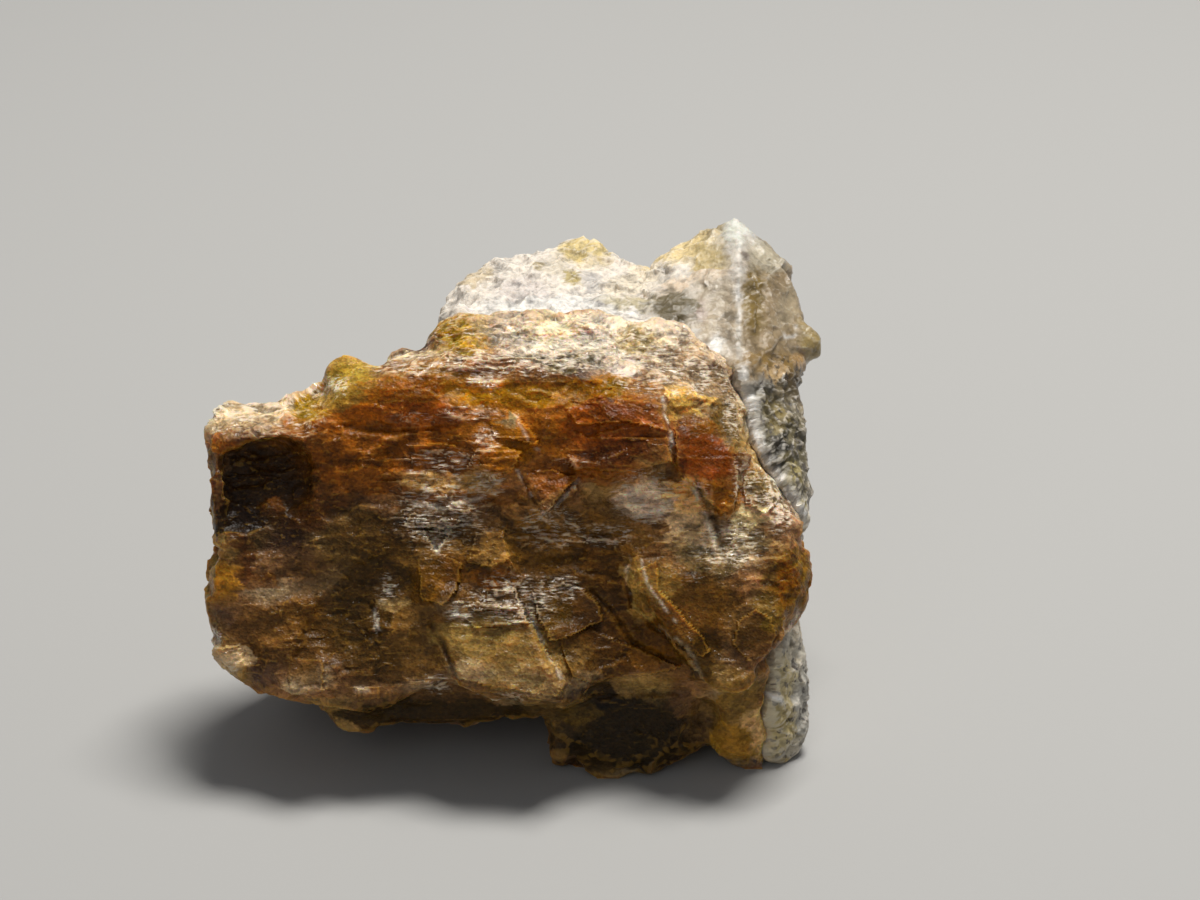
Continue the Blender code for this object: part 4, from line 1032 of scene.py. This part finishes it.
body = attribute(tree, "stain", "Color")
for share, pattern, *stops in (
        (busy, level, (0.30, 0.66), (0.52, 1.0), (0.72, 1.42)),
        (busy, cloudy, (0.34, 0.66), (0.5, 1.0), (0.66, 1.35)),
        (busy, red_of(tree, grit_colour), (0.0, 0.62), (1.0, 1.42)),
        (1.0, red_of(tree, sugar_colour), (0.0, 0.68), (1.0, 1.36))):
    body = mixed(tree, share, body, ramp(tree, pattern, *stops), "MULTIPLY")

# Painted highlights: where there is frost, thin streaks are whitened to stand in for the lamp's glints on
# tiny steps.
fleck = worked(tree, "MULTIPLY_ADD", frost, 0.19, sparkle)
glint_streaks = ramp(tree, fleck, (0.58, 0.0), (0.72, 1.0))
glint_streaks = times(tree, glint_streaks, ramp(tree, frost, (0.02, 0.0), (0.35, 1.0)))
glint_streaks = times(tree, glint_streaks, ramp(tree, patchy, (0.42, 0.1), (0.60, 1.0)))
edges = ramp(tree, ridge, (0.15, 0.0), (0.9, 1.0))
# Pale edges are the stone's own. On frost, edges and glint streaks are painted near white as highlights.
for share, colour in ((times(tree, edges, 0.16), (0.62, 0.34, 0.05)),
                      (times(tree, edges, times(tree, frost, 0.5)), (0.90, 0.76, 0.58)),
                      (times(tree, glint_streaks, 0.6), (0.92, 0.80, 0.64))):
    body = mixed(tree, share, body, colour)
feed(tree, shader.inputs["Base Color"], body)
print("honey colour made with", len(tree.nodes), "nodes")

# %% [markdown]
# ## The honey stone's gloss and depth
# Herderite is a hard, glassy mineral: light slips in, scatters in its cracks and comes out
# warmer. A Principled shader does this with subsurface scattering, most of it where the stone
# glows. Transmission would be nearer to the truth, but it lays a grey veil over the warm colours.
# The clear coat is thin, and stronger on frost. Small cells that tilt their own way let single
# crystals catch the lamp.

# %% Honey herderite: its gloss, depth and grain
HONEY = {
    "IOR": 1.6, "Subsurface Radius": (1.0, 0.40, 0.12), "Subsurface Scale": 1.3 * MM,
    "Specular IOR Level": 0.05, "Coat Roughness": 0.10,
    "Roughness": ramp(tree, cloudy, (0.35, 0.24), (0.65, 0.52)),
    "Subsurface Weight": ramp(tree, glow, (0.0, 0.40), (1.0, 0.90)),
    "Coat Weight": ramp(tree, frost, (0.0, 0.12), (0.6, 0.36)),
}
for name, value in HONEY.items():
    feed(tree, shader.inputs[name], value)
gritty = bumped(tree, level, 0.06, 0.5)
gritty = bumped(tree, grit, 0.06, 0.5, gritty)
gritty = bumped(tree, sugar, 0.04, 0.6, gritty)
lean = times(tree, glint_streaks, 0.75)
lively = ramp(tree, frost, (0.0, 0.45), (0.6, 1.0))
for name, stretch, scale, tilt in (("Normal", (0.8, 1.3, 1.0), 7.0, 0.18),
                                   ("Coat Normal", (0.5, 1.6, 1.0), 6.5, 0.60)):
    feed(tree, shader.inputs[name], glinting(tree, spot, stretch, scale, tilt, gritty, lean, lively))
SHARP = math.radians(34)
crystal.data.materials.append(honey)
crystal.data.shade_smooth()
crystal.data.set_sharp_from_angle(angle=SHARP)
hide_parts("herderite_crystal")
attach(crystal, "root")
print("crystal finished in", honey.name)

# %% [markdown]
# ## The feldspar matrix
# Behind the crystal sits the rock it grew in: a cream feldspar plateau with rusty stains, a block
# of grey quartz with a frosted top, and a sugary strip with black mica down the right side. It
# is one solid in the frame, so it gets one skin too, with smaller cells, because its grain is
# finer. Only the side that shows could be skinned, but a specimen is turned in the hand.

# %% Reskin the matrix
MATRIX_CELL = 0.135
matrix = reskinned("feldspar_matrix", "feldspar_matrix_skin", MATRIX_CELL)
matrix_places = to_face(read(matrix.data, "co"))
matrix_facing = read(matrix.data, "normal") @ TURN
print("matrix skin:", len(matrix.data.vertices), "points", 2 * len(matrix.data.polygons), "triangles")

# %% [markdown]
# ## Close the seam
# The frame leaves a hair of room between the stones, but the real ones have grown together.
# Where the matrix looks at the crystal from close by, its skin is pushed out until the two meet.
# A search tree finds how far away the crystal is. Both the push and its direction are evened out
# among neighbours, or the skin would fold into ribs. Shrinkwrap would do the same, but it would
# also flatten the points that should stay where they are.

# %% Push the matrix out to the crystal
SEAM_REACH = 1.1
SEAM_OVERLAP = 0.10
SEAM_NEAR = (0.6, 1.0)
SEAM_ASLANT = 1.6
EVENINGS = 6
crystal_shape = bmesh.new()
crystal_shape.from_mesh(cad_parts["herderite_crystal"].data)
tree = BVHTree.FromBMesh(crystal_shape)
crystal_shape.free()
seam_push = np.zeros(len(matrix_places))
world_facing = matrix_facing @ TURN.T
for index, point in enumerate(to_world(matrix_places)):
    target, _, _, distance = tree.find_nearest(Vector(point), SEAM_REACH * MM)
    if target is not None and distance > 0:
        towards = float((np.array(target) - point) @ world_facing[index]) / distance
        near = float(1 - fade(*SEAM_NEAR, distance / MM / SEAM_REACH))
        straight = min(1, max(0, SEAM_ASLANT * towards))
        seam_push[index] = near * (distance / MM + SEAM_OVERLAP) * straight
seam_push = seam_push[:, None]
push_way = matrix_facing
for _ in range(EVENINGS):
    seam_push = neighbours_mean(matrix.data, seam_push)
    push_way = neighbours_mean(matrix.data, push_way)
push_way = push_way / np.linalg.norm(push_way, axis=1, keepdims=True)
print("pushed towards the crystal:", int((seam_push > 0).sum()), "points")

# %% [markdown]
# ## Which stone is it here?
# Feldspar, quartz and the mica strip break differently, so each point needs to know its kind.
# Two soft masks say so, made from ovals as the stains are, and what neither covers is feldspar.
# Quartz breaks like glass in big clean shells, feldspar in small blocks, and the strip crumbles
# into grains. Three meshes would part them more sharply, but the real stones blend.

# %% Masks of the matrix's kinds of stone
QUARTZ = [(11.8, 9.6, 3.4, 3.6), (9.6, 8.6, 2.6, 2.2), (8.2, 8.8, 1.4, 1.0)]
STRIP = [(12.8, 3.4, 2.0, 3.4), (13.6, 0.4, 1.4, 2.4), (13.2, 6.0, 1.4, 1.0), (14.0, -2.0, 1.0, 1.6)]
CRUST = [(13.4, -9.6, 1.6, 3.8)]
QUARTZ_X, QUARTZ_Y = (9.0, 10.5), (4.0, 6.0)
behind = fade(*QUARTZ_X, matrix_places[:, 0]) * fade(*QUARTZ_Y, matrix_places[:, 1])
quartz = np.maximum(covered(matrix_places, matrix_facing, QUARTZ), behind)
strip = covered(matrix_places, matrix_facing, STRIP + CRUST)
print("quartz covers", round(float(quartz.mean()) * 100), "% of the matrix")

# %% Sharp crests
CRESTS = [
    # line on the plan; half its width and its height in millimetres
    ([(10.95, 13.2), (11.0, 9.8), (11.15, 7.2), (11.3, 5.8)], 0.8, 0.35),
    ([(13.1, 0.9), (13.7, 0.0), (14.3, -1.2)], 0.40, 0.25),
]


def crests(plan):
    """How high the sharp crests stand: each is a roof with two flat sides."""
    height = np.zeros(len(plan))
    for line, half, top in CRESTS:
        height = np.maximum(height, top * np.clip(1 - distance_to(plan, line) / half, 0, 1))
    return height


print("crests stand up to", round(float(crests(plan_of(matrix_places)).max()), 2), "mm")

# %% Shape the matrix
# size, hollow, tilt, lift and seed of each layer of facets
GLASSY = [(2.6, 0.03, 0.14, 0.05, 2.7), (1.0, 0.03, 0.11, 0.03, 6.2), (0.45, 0.02, 0.08, 0.02, 8.2)]
SUGARY = [(1.5, 0.10, 0.16, 0.08, 4.4), (0.6, 0.10, 0.20, 0.08, 8.4)]
CRUMBLING = [(1.2, 0.03, 0.20, 0.10, 5.1), (0.5, 0.03, 0.20, 0.05, 3.4)]
SWELL = 0.05
SEAM_CALM = 0.7


def shape_matrix(points, facing):
    """The matrix's places with their relief, which is calmer along the seam."""
    bent = points + swirls(points, 0.2, 1.1, 12.6, 15.2, 19.8)
    relief = breaks(bent, SUGARY) + 0.10 * wander(points, 1.4, 7.0) + 0.05 * wander(points, 0.35, 9.9)
    relief += (breaks(bent, GLASSY) - relief) * quartz
    crumbs = 0.14 * grains(points, 0.6, 1.1) + 0.10 * grains(points, 0.35, 7.2)
    relief += (crumbs + breaks(bent, CRUMBLING) - relief) * strip
    relief += 0.02 * wander(points, 0.3, 17.0)
    even = 1 - SEAM_CALM * fade(0.0, 0.35, seam_push[:, 0])
    moved = points + facing * ((relief - relief.mean()) * even + SWELL)[:, None]
    moved[:, 2] += crests(plan_of(points)) * fade(0.0, 0.4, facing[:, 2])
    return moved


shaped = shape_matrix(matrix_places, matrix_facing) + push_way * seam_push
write(matrix.data, grounded(matrix_places, shaped))
print("matrix relief moved points by up to", round(float(np.abs(shaped - matrix_places).max()), 2), "mm")

# %% [markdown]
# ## The matrix's stains
# Fresh feldspar is cream, and rust from the rock around it turns it ochre in spots. Quartz is
# grey where one looks into it and white where it is bruised. Its left face is also painted
# lighter, as lit, its right face darker, as painted shade, and a few small flashes are painted
# glints. The same brush paints both, with smaller facets, because this stone's grain is finer. A
# second set of colours could be scattered by chance, but the spots near the crest would then land
# in the wrong places. The same program fitted 37 of these 44 colours.

# %% Colours of the matrix
MATRIX_STAINS = [
    # name, x, y, reach_x, reach_y, turn, colour, strength
    ("plateau", 1.4, 10.2, 7.0, 3.2, 0, (0.630, 0.567, 0.492), 1.0),
    ("plateau_warm", 2.4, 9.2, 4.0, 0.7, 0, (0.667, 0.660, 0.635), 0.7),
    ("tan_blotch", -1.7, 10.7, 0.9, 0.5, 25, (0.487, 0.384, 0.231), 0.8),
    ("peak", 3.6, 12.2, 1.4, 0.9, 0, (0.559, 0.428, 0.158), 0.9),
    ("peak_white", 4.6, 12.9, 0.5, 0.3, -25, (0.86, 0.82, 0.76), 0.9),
    ("peak_pale", 2.1, 11.2, 0.6, 0.5, 30, (0.535, 0.472, 0.370), 0.9),
    ("peak_ochre", 2.9, 10.6, 0.4, 0.32, 0, (0.306, 0.234, 0.067), 0.9),
    ("red_speck", 1.3, 11.2, 0.28, 0.22, 0, (0.421, 0.331, 0.170), 0.9),
    ("grey_haze", 0.6, 10.1, 1.3, 0.5, 0, (0.515, 0.458, 0.428), 0.7),
    ("grey_spot", 3.9, 10.5, 0.45, 0.4, 0, (0.340, 0.321, 0.306), 0.8),
    ("saddle_ochre", 5.8, 10.4, 1.5, 0.45, 10, (0.636, 0.547, 0.402), 0.7),
    ("saddle_low", 5.6, 9.5, 1.3, 0.3, 0, (0.270, 0.210, 0.063), 0.7),
    ("ridge_tan", 8.3, 12.2, 2.4, 0.55, 27, (0.632, 0.493, 0.246), 0.95),
    ("ridge_ochre", 9.5, 11.6, 0.9, 0.75, 20, (0.520, 0.392, 0.152), 0.9),
    ("ridge_white", 9.0, 10.6, 1.8, 0.35, 20, (0.814, 0.637, 0.455), 0.8),
    ("apex", 10.9, 13.3, 0.7, 0.9, 0, (0.900, 0.900, 0.802), 1.0),
    # Painted light: the quartz's left face is painted lighter, as lit, over its own grey.
    ("quartz_left_lit", 9.8, 9.0, 1.3, 1.8, 0, (0.549, 0.452, 0.318), 0.95),
    ("quartz_dark", 7.9, 9.2, 1.2, 0.8, 15, (0.129, 0.097, 0.037), 0.95),
    ("quartz_white", 7.4, 8.0, 1.5, 0.5, 0, (0.80, 0.77, 0.73), 0.9),
    # Painted glints: two small flashes of reflected light on the quartz.
    ("quartz_flash", 9.2, 9.2, 0.3, 0.5, 0, (0.467, 0.354, 0.294), 0.9),
    ("quartz_flash_low", 9.8, 7.5, 0.35, 0.7, -10, (0.90, 0.88, 0.84), 0.9),
    ("quartz_grey_low", 8.6, 7.2, 0.7, 0.6, 0, (0.34, 0.32, 0.31), 0.7),
    # Painted shade: the quartz's right face is painted darker, as shaded, over its own brown-grey.
    ("quartz_right_shaded", 12.7, 9.4, 1.9, 2.8, 0, (0.393, 0.287, 0.158), 0.95),
    ("quartz_olive", 11.7, 9.6, 0.55, 1.7, 0, (0.242, 0.158, 0.032), 0.85),
    ("quartz_top", 12.4, 11.8, 1.0, 0.8, -40, (0.634, 0.566, 0.414), 0.8),
    ("quartz_pale", 13.4, 9.4, 0.6, 1.3, -20, (0.527, 0.432, 0.282), 0.7),
    ("grain", 14.7, 7.8, 0.8, 1.2, 0, (0.461, 0.342, 0.137), 1.0),
    ("quartz_foot", 12.2, 6.5, 1.9, 0.8, 0, (0.341, 0.203, 0.044), 0.9),
    ("knob_pink", 12.7, 6.1, 0.55, 0.5, 0, (0.900, 0.620, 0.307), 0.9),
    ("knob_right", 13.9, 6.6, 0.4, 0.5, 0, (0.512, 0.318, 0.135), 0.9),
    ("brown_side", 13.6, 5.4, 0.6, 0.8, 0, (0.048, 0.026, 0.004), 0.9),
    ("dark_seam", 12.2, 5.3, 0.6, 0.25, 0, (0.011, 0.006, 0.003), 0.9),
    ("strip", 12.8, 2.4, 1.8, 3.2, 12, (0.114, 0.094, 0.042), 0.95),
    ("strip_dark", 12.9, 3.9, 0.5, 0.6, 0, (0.231, 0.169, 0.049), 0.8),
    ("strip_black", 13.0, 2.2, 0.45, 0.9, 15, (0.010, 0.007, 0.004), 0.9),
    ("strip_pink", 12.3, 4.6, 0.5, 0.4, 0, (0.095, 0.068, 0.010), 0.8),
    ("strip_pale", 13.5, 1.2, 0.35, 0.9, 20, (0.317, 0.251, 0.081), 0.8),
    ("strip_low", 13.7, -0.6, 0.4, 0.9, 20, (0.497, 0.395, 0.127), 0.8),
    ("flank", 14.4, -4.8, 0.9, 3.4, 0, (0.36, 0.27, 0.17), 0.8),
    ("crust", 13.4, -9.6, 1.7, 3.6, 0, (0.50, 0.44, 0.33), 1.0),
    ("crust_white", 12.9, -8.8, 0.7, 1.4, 0, (0.526, 0.430, 0.221), 0.9),
    ("crust_beige", 12.8, -10.8, 0.8, 1.3, 0, (0.449, 0.346, 0.124), 0.8),
    ("crust_grey", 14.1, -9.6, 0.5, 2.6, 0, (0.38, 0.37, 0.34), 0.7),
    ("crust_pink", 12.8, -12.6, 0.9, 0.3, 0, (0.430, 0.283, 0.038), 0.7),
]
print(len(MATRIX_STAINS), "stains on the matrix")

# %% White ridges and dark specks of the matrix
WHITE, BLACK = (0.92, 0.90, 0.87), (0.06, 0.05, 0.05)
MATRIX_LINES = [
    ([(11.2, 6.2), (11.6, 4.6), (12.0, 3.0)], 0.20, WHITE, 0.9),
    ([(11.9, 3.0), (12.3, 2.2), (12.9, 1.2), (13.3, 0.7)], 0.16, WHITE, 0.8),
    ([(13.1, 0.9), (13.7, 0.0), (14.3, -1.0), (14.7, -1.8)], 0.28, WHITE, 1.0),
    ([(-2.8, 9.25), (-1.9, 9.1), (-1.0, 8.8)], 0.06, (0.34, 0.32, 0.36), 0.8),
    ([(3.8, 9.6), (4.5, 9.35), (5.1, 9.3)], 0.07, BLACK, 0.8),
    ([(5.0, 9.05), (5.7, 8.8), (6.3, 8.65)], 0.08, BLACK, 0.8),
    ([(0.8, 9.5), (1.0, 9.4)], 0.10, BLACK, 0.8),
    ([(10.95, 12.2), (10.95, 9.8), (11.0, 7.2), (11.1, 6.0)], 0.14, (0.74, 0.71, 0.65), 0.8),
    ([(12.9, 8.4), (13.2, 7.8), (13.7, 7.9), (13.8, 8.5)], 0.08, WHITE, 0.7),
    ([(12.6, -9.3), (13.0, -9.7)], 0.16, WHITE, 0.9),
]
print(len(MATRIX_LINES), "lines on the matrix")

# %% Paint the matrix
MATRIX_BASE = (0.76, 0.70, 0.61)
MATRIX_ZONES = [
    ((0.05, 0.40, 3.0, 51.0), (0.58, 0.45, 0.28)),
    ((0.10, 0.60, 3.4, 61.0), (0.46, 0.43, 0.40)),
    ((0.10, 0.45, 1.9, 71.0), (0.86, 0.83, 0.78)),
    ((0.20, 0.60, 3.8, 91.0), (0.20, 0.45, 0.7, 81.0), (0.20, 0.17, 0.15)),
]
MATRIX_FACET = 0.7
MATRIX_STRETCH = np.ones(3)
MATRIX_JOINTS = (0.06, 0.08, 0.0)
matrix_colour = painted(matrix_places, matrix_facing, zoned(matrix_places, MATRIX_BASE, MATRIX_ZONES),
                        MATRIX_STAINS, MATRIX_LINES, MATRIX_FACET, MATRIX_STRETCH, MATRIX_JOINTS)
keep(matrix.data, matrix_colour, matrix_places, quartz=quartz, crumbs=strip)
print("mean colour of the matrix", np.round(matrix_colour.mean(axis=0), 2))

# %% [markdown]
# ## The pale stone's finish
# Feldspar is dull and chalky, and quartz beside it is smooth, glassy and a little clear. The
# quartz mask therefore drives roughness and transmission, so that one material serves both and
# they blend where they meet. Two materials would be plainer, but would leave a hard border.

# %% Cream feldspar and grey quartz
cream, tree, shader = new_material("cream_feldspar")
glass, crumbs, ridge = [attribute(tree, name) for name in ("quartz", "crumbs", "ridge")]
spot = attribute(tree, "place_mm", "Vector")
sugar = texture(tree, spot, (1.0, 1.0, 1.0), 3.6, 6.0, 0.65)
cloudy = texture(tree, spot, (1.0, 1.0, 1.0), 0.9, 5.0, 0.6)
mica = texture(tree, spot, (1.0, 0.7, 1.0), 3.2, 2.0, 0.6)
rough_share = ramp(tree, glass, (0.0, 1.0), (1.0, 0.35))
body = attribute(tree, "stain", "Color")
for share, pattern, *stops in ((rough_share, sugar, (0.32, 0.68), (0.52, 1.0), (0.72, 1.15)),
                               (1.0, cloudy, (0.32, 0.55), (0.48, 1.0), (0.70, 1.16))):
    body = mixed(tree, share, body, ramp(tree, pattern, *stops), "MULTIPLY")
specks = times(tree, crumbs, ramp(tree, mica, (0.57, 0.0), (0.62, 1.0)))
edges = ramp(tree, ridge, (0.15, 0.0), (0.9, 1.0))
body = mixed(tree, times(tree, specks, 0.75), body, (0.06, 0.05, 0.045))
body = mixed(tree, times(tree, edges, 0.3), body, (0.86, 0.80, 0.71))
chalky = bumped(tree, sugar, 0.10, 0.7, bumped(tree, cloudy, 0.12, 0.4))
PALE = {
    "Base Color": body, "IOR": 1.54, "Subsurface Weight": 0.25,
    "Subsurface Radius": (1.0, 0.8, 0.6), "Subsurface Scale": 0.6 * MM,
    "Roughness": ramp(tree, glass, (0.0, 0.62), (1.0, 0.22)),
    "Transmission Weight": times(tree, glass, 0.35),
    "Normal": glinting(tree, spot, (1.0, 1.0, 1.0), 6.0, 0.25, chalky, 0.0, rough_share),
}
for name, value in PALE.items():
    feed(tree, shader.inputs[name], value)
matrix.data.materials.append(cream)
matrix.data.shade_smooth()
matrix.data.set_sharp_from_angle(angle=SHARP)
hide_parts("feldspar_matrix")
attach(matrix, "root")
print("matrix finished in", cream.name)
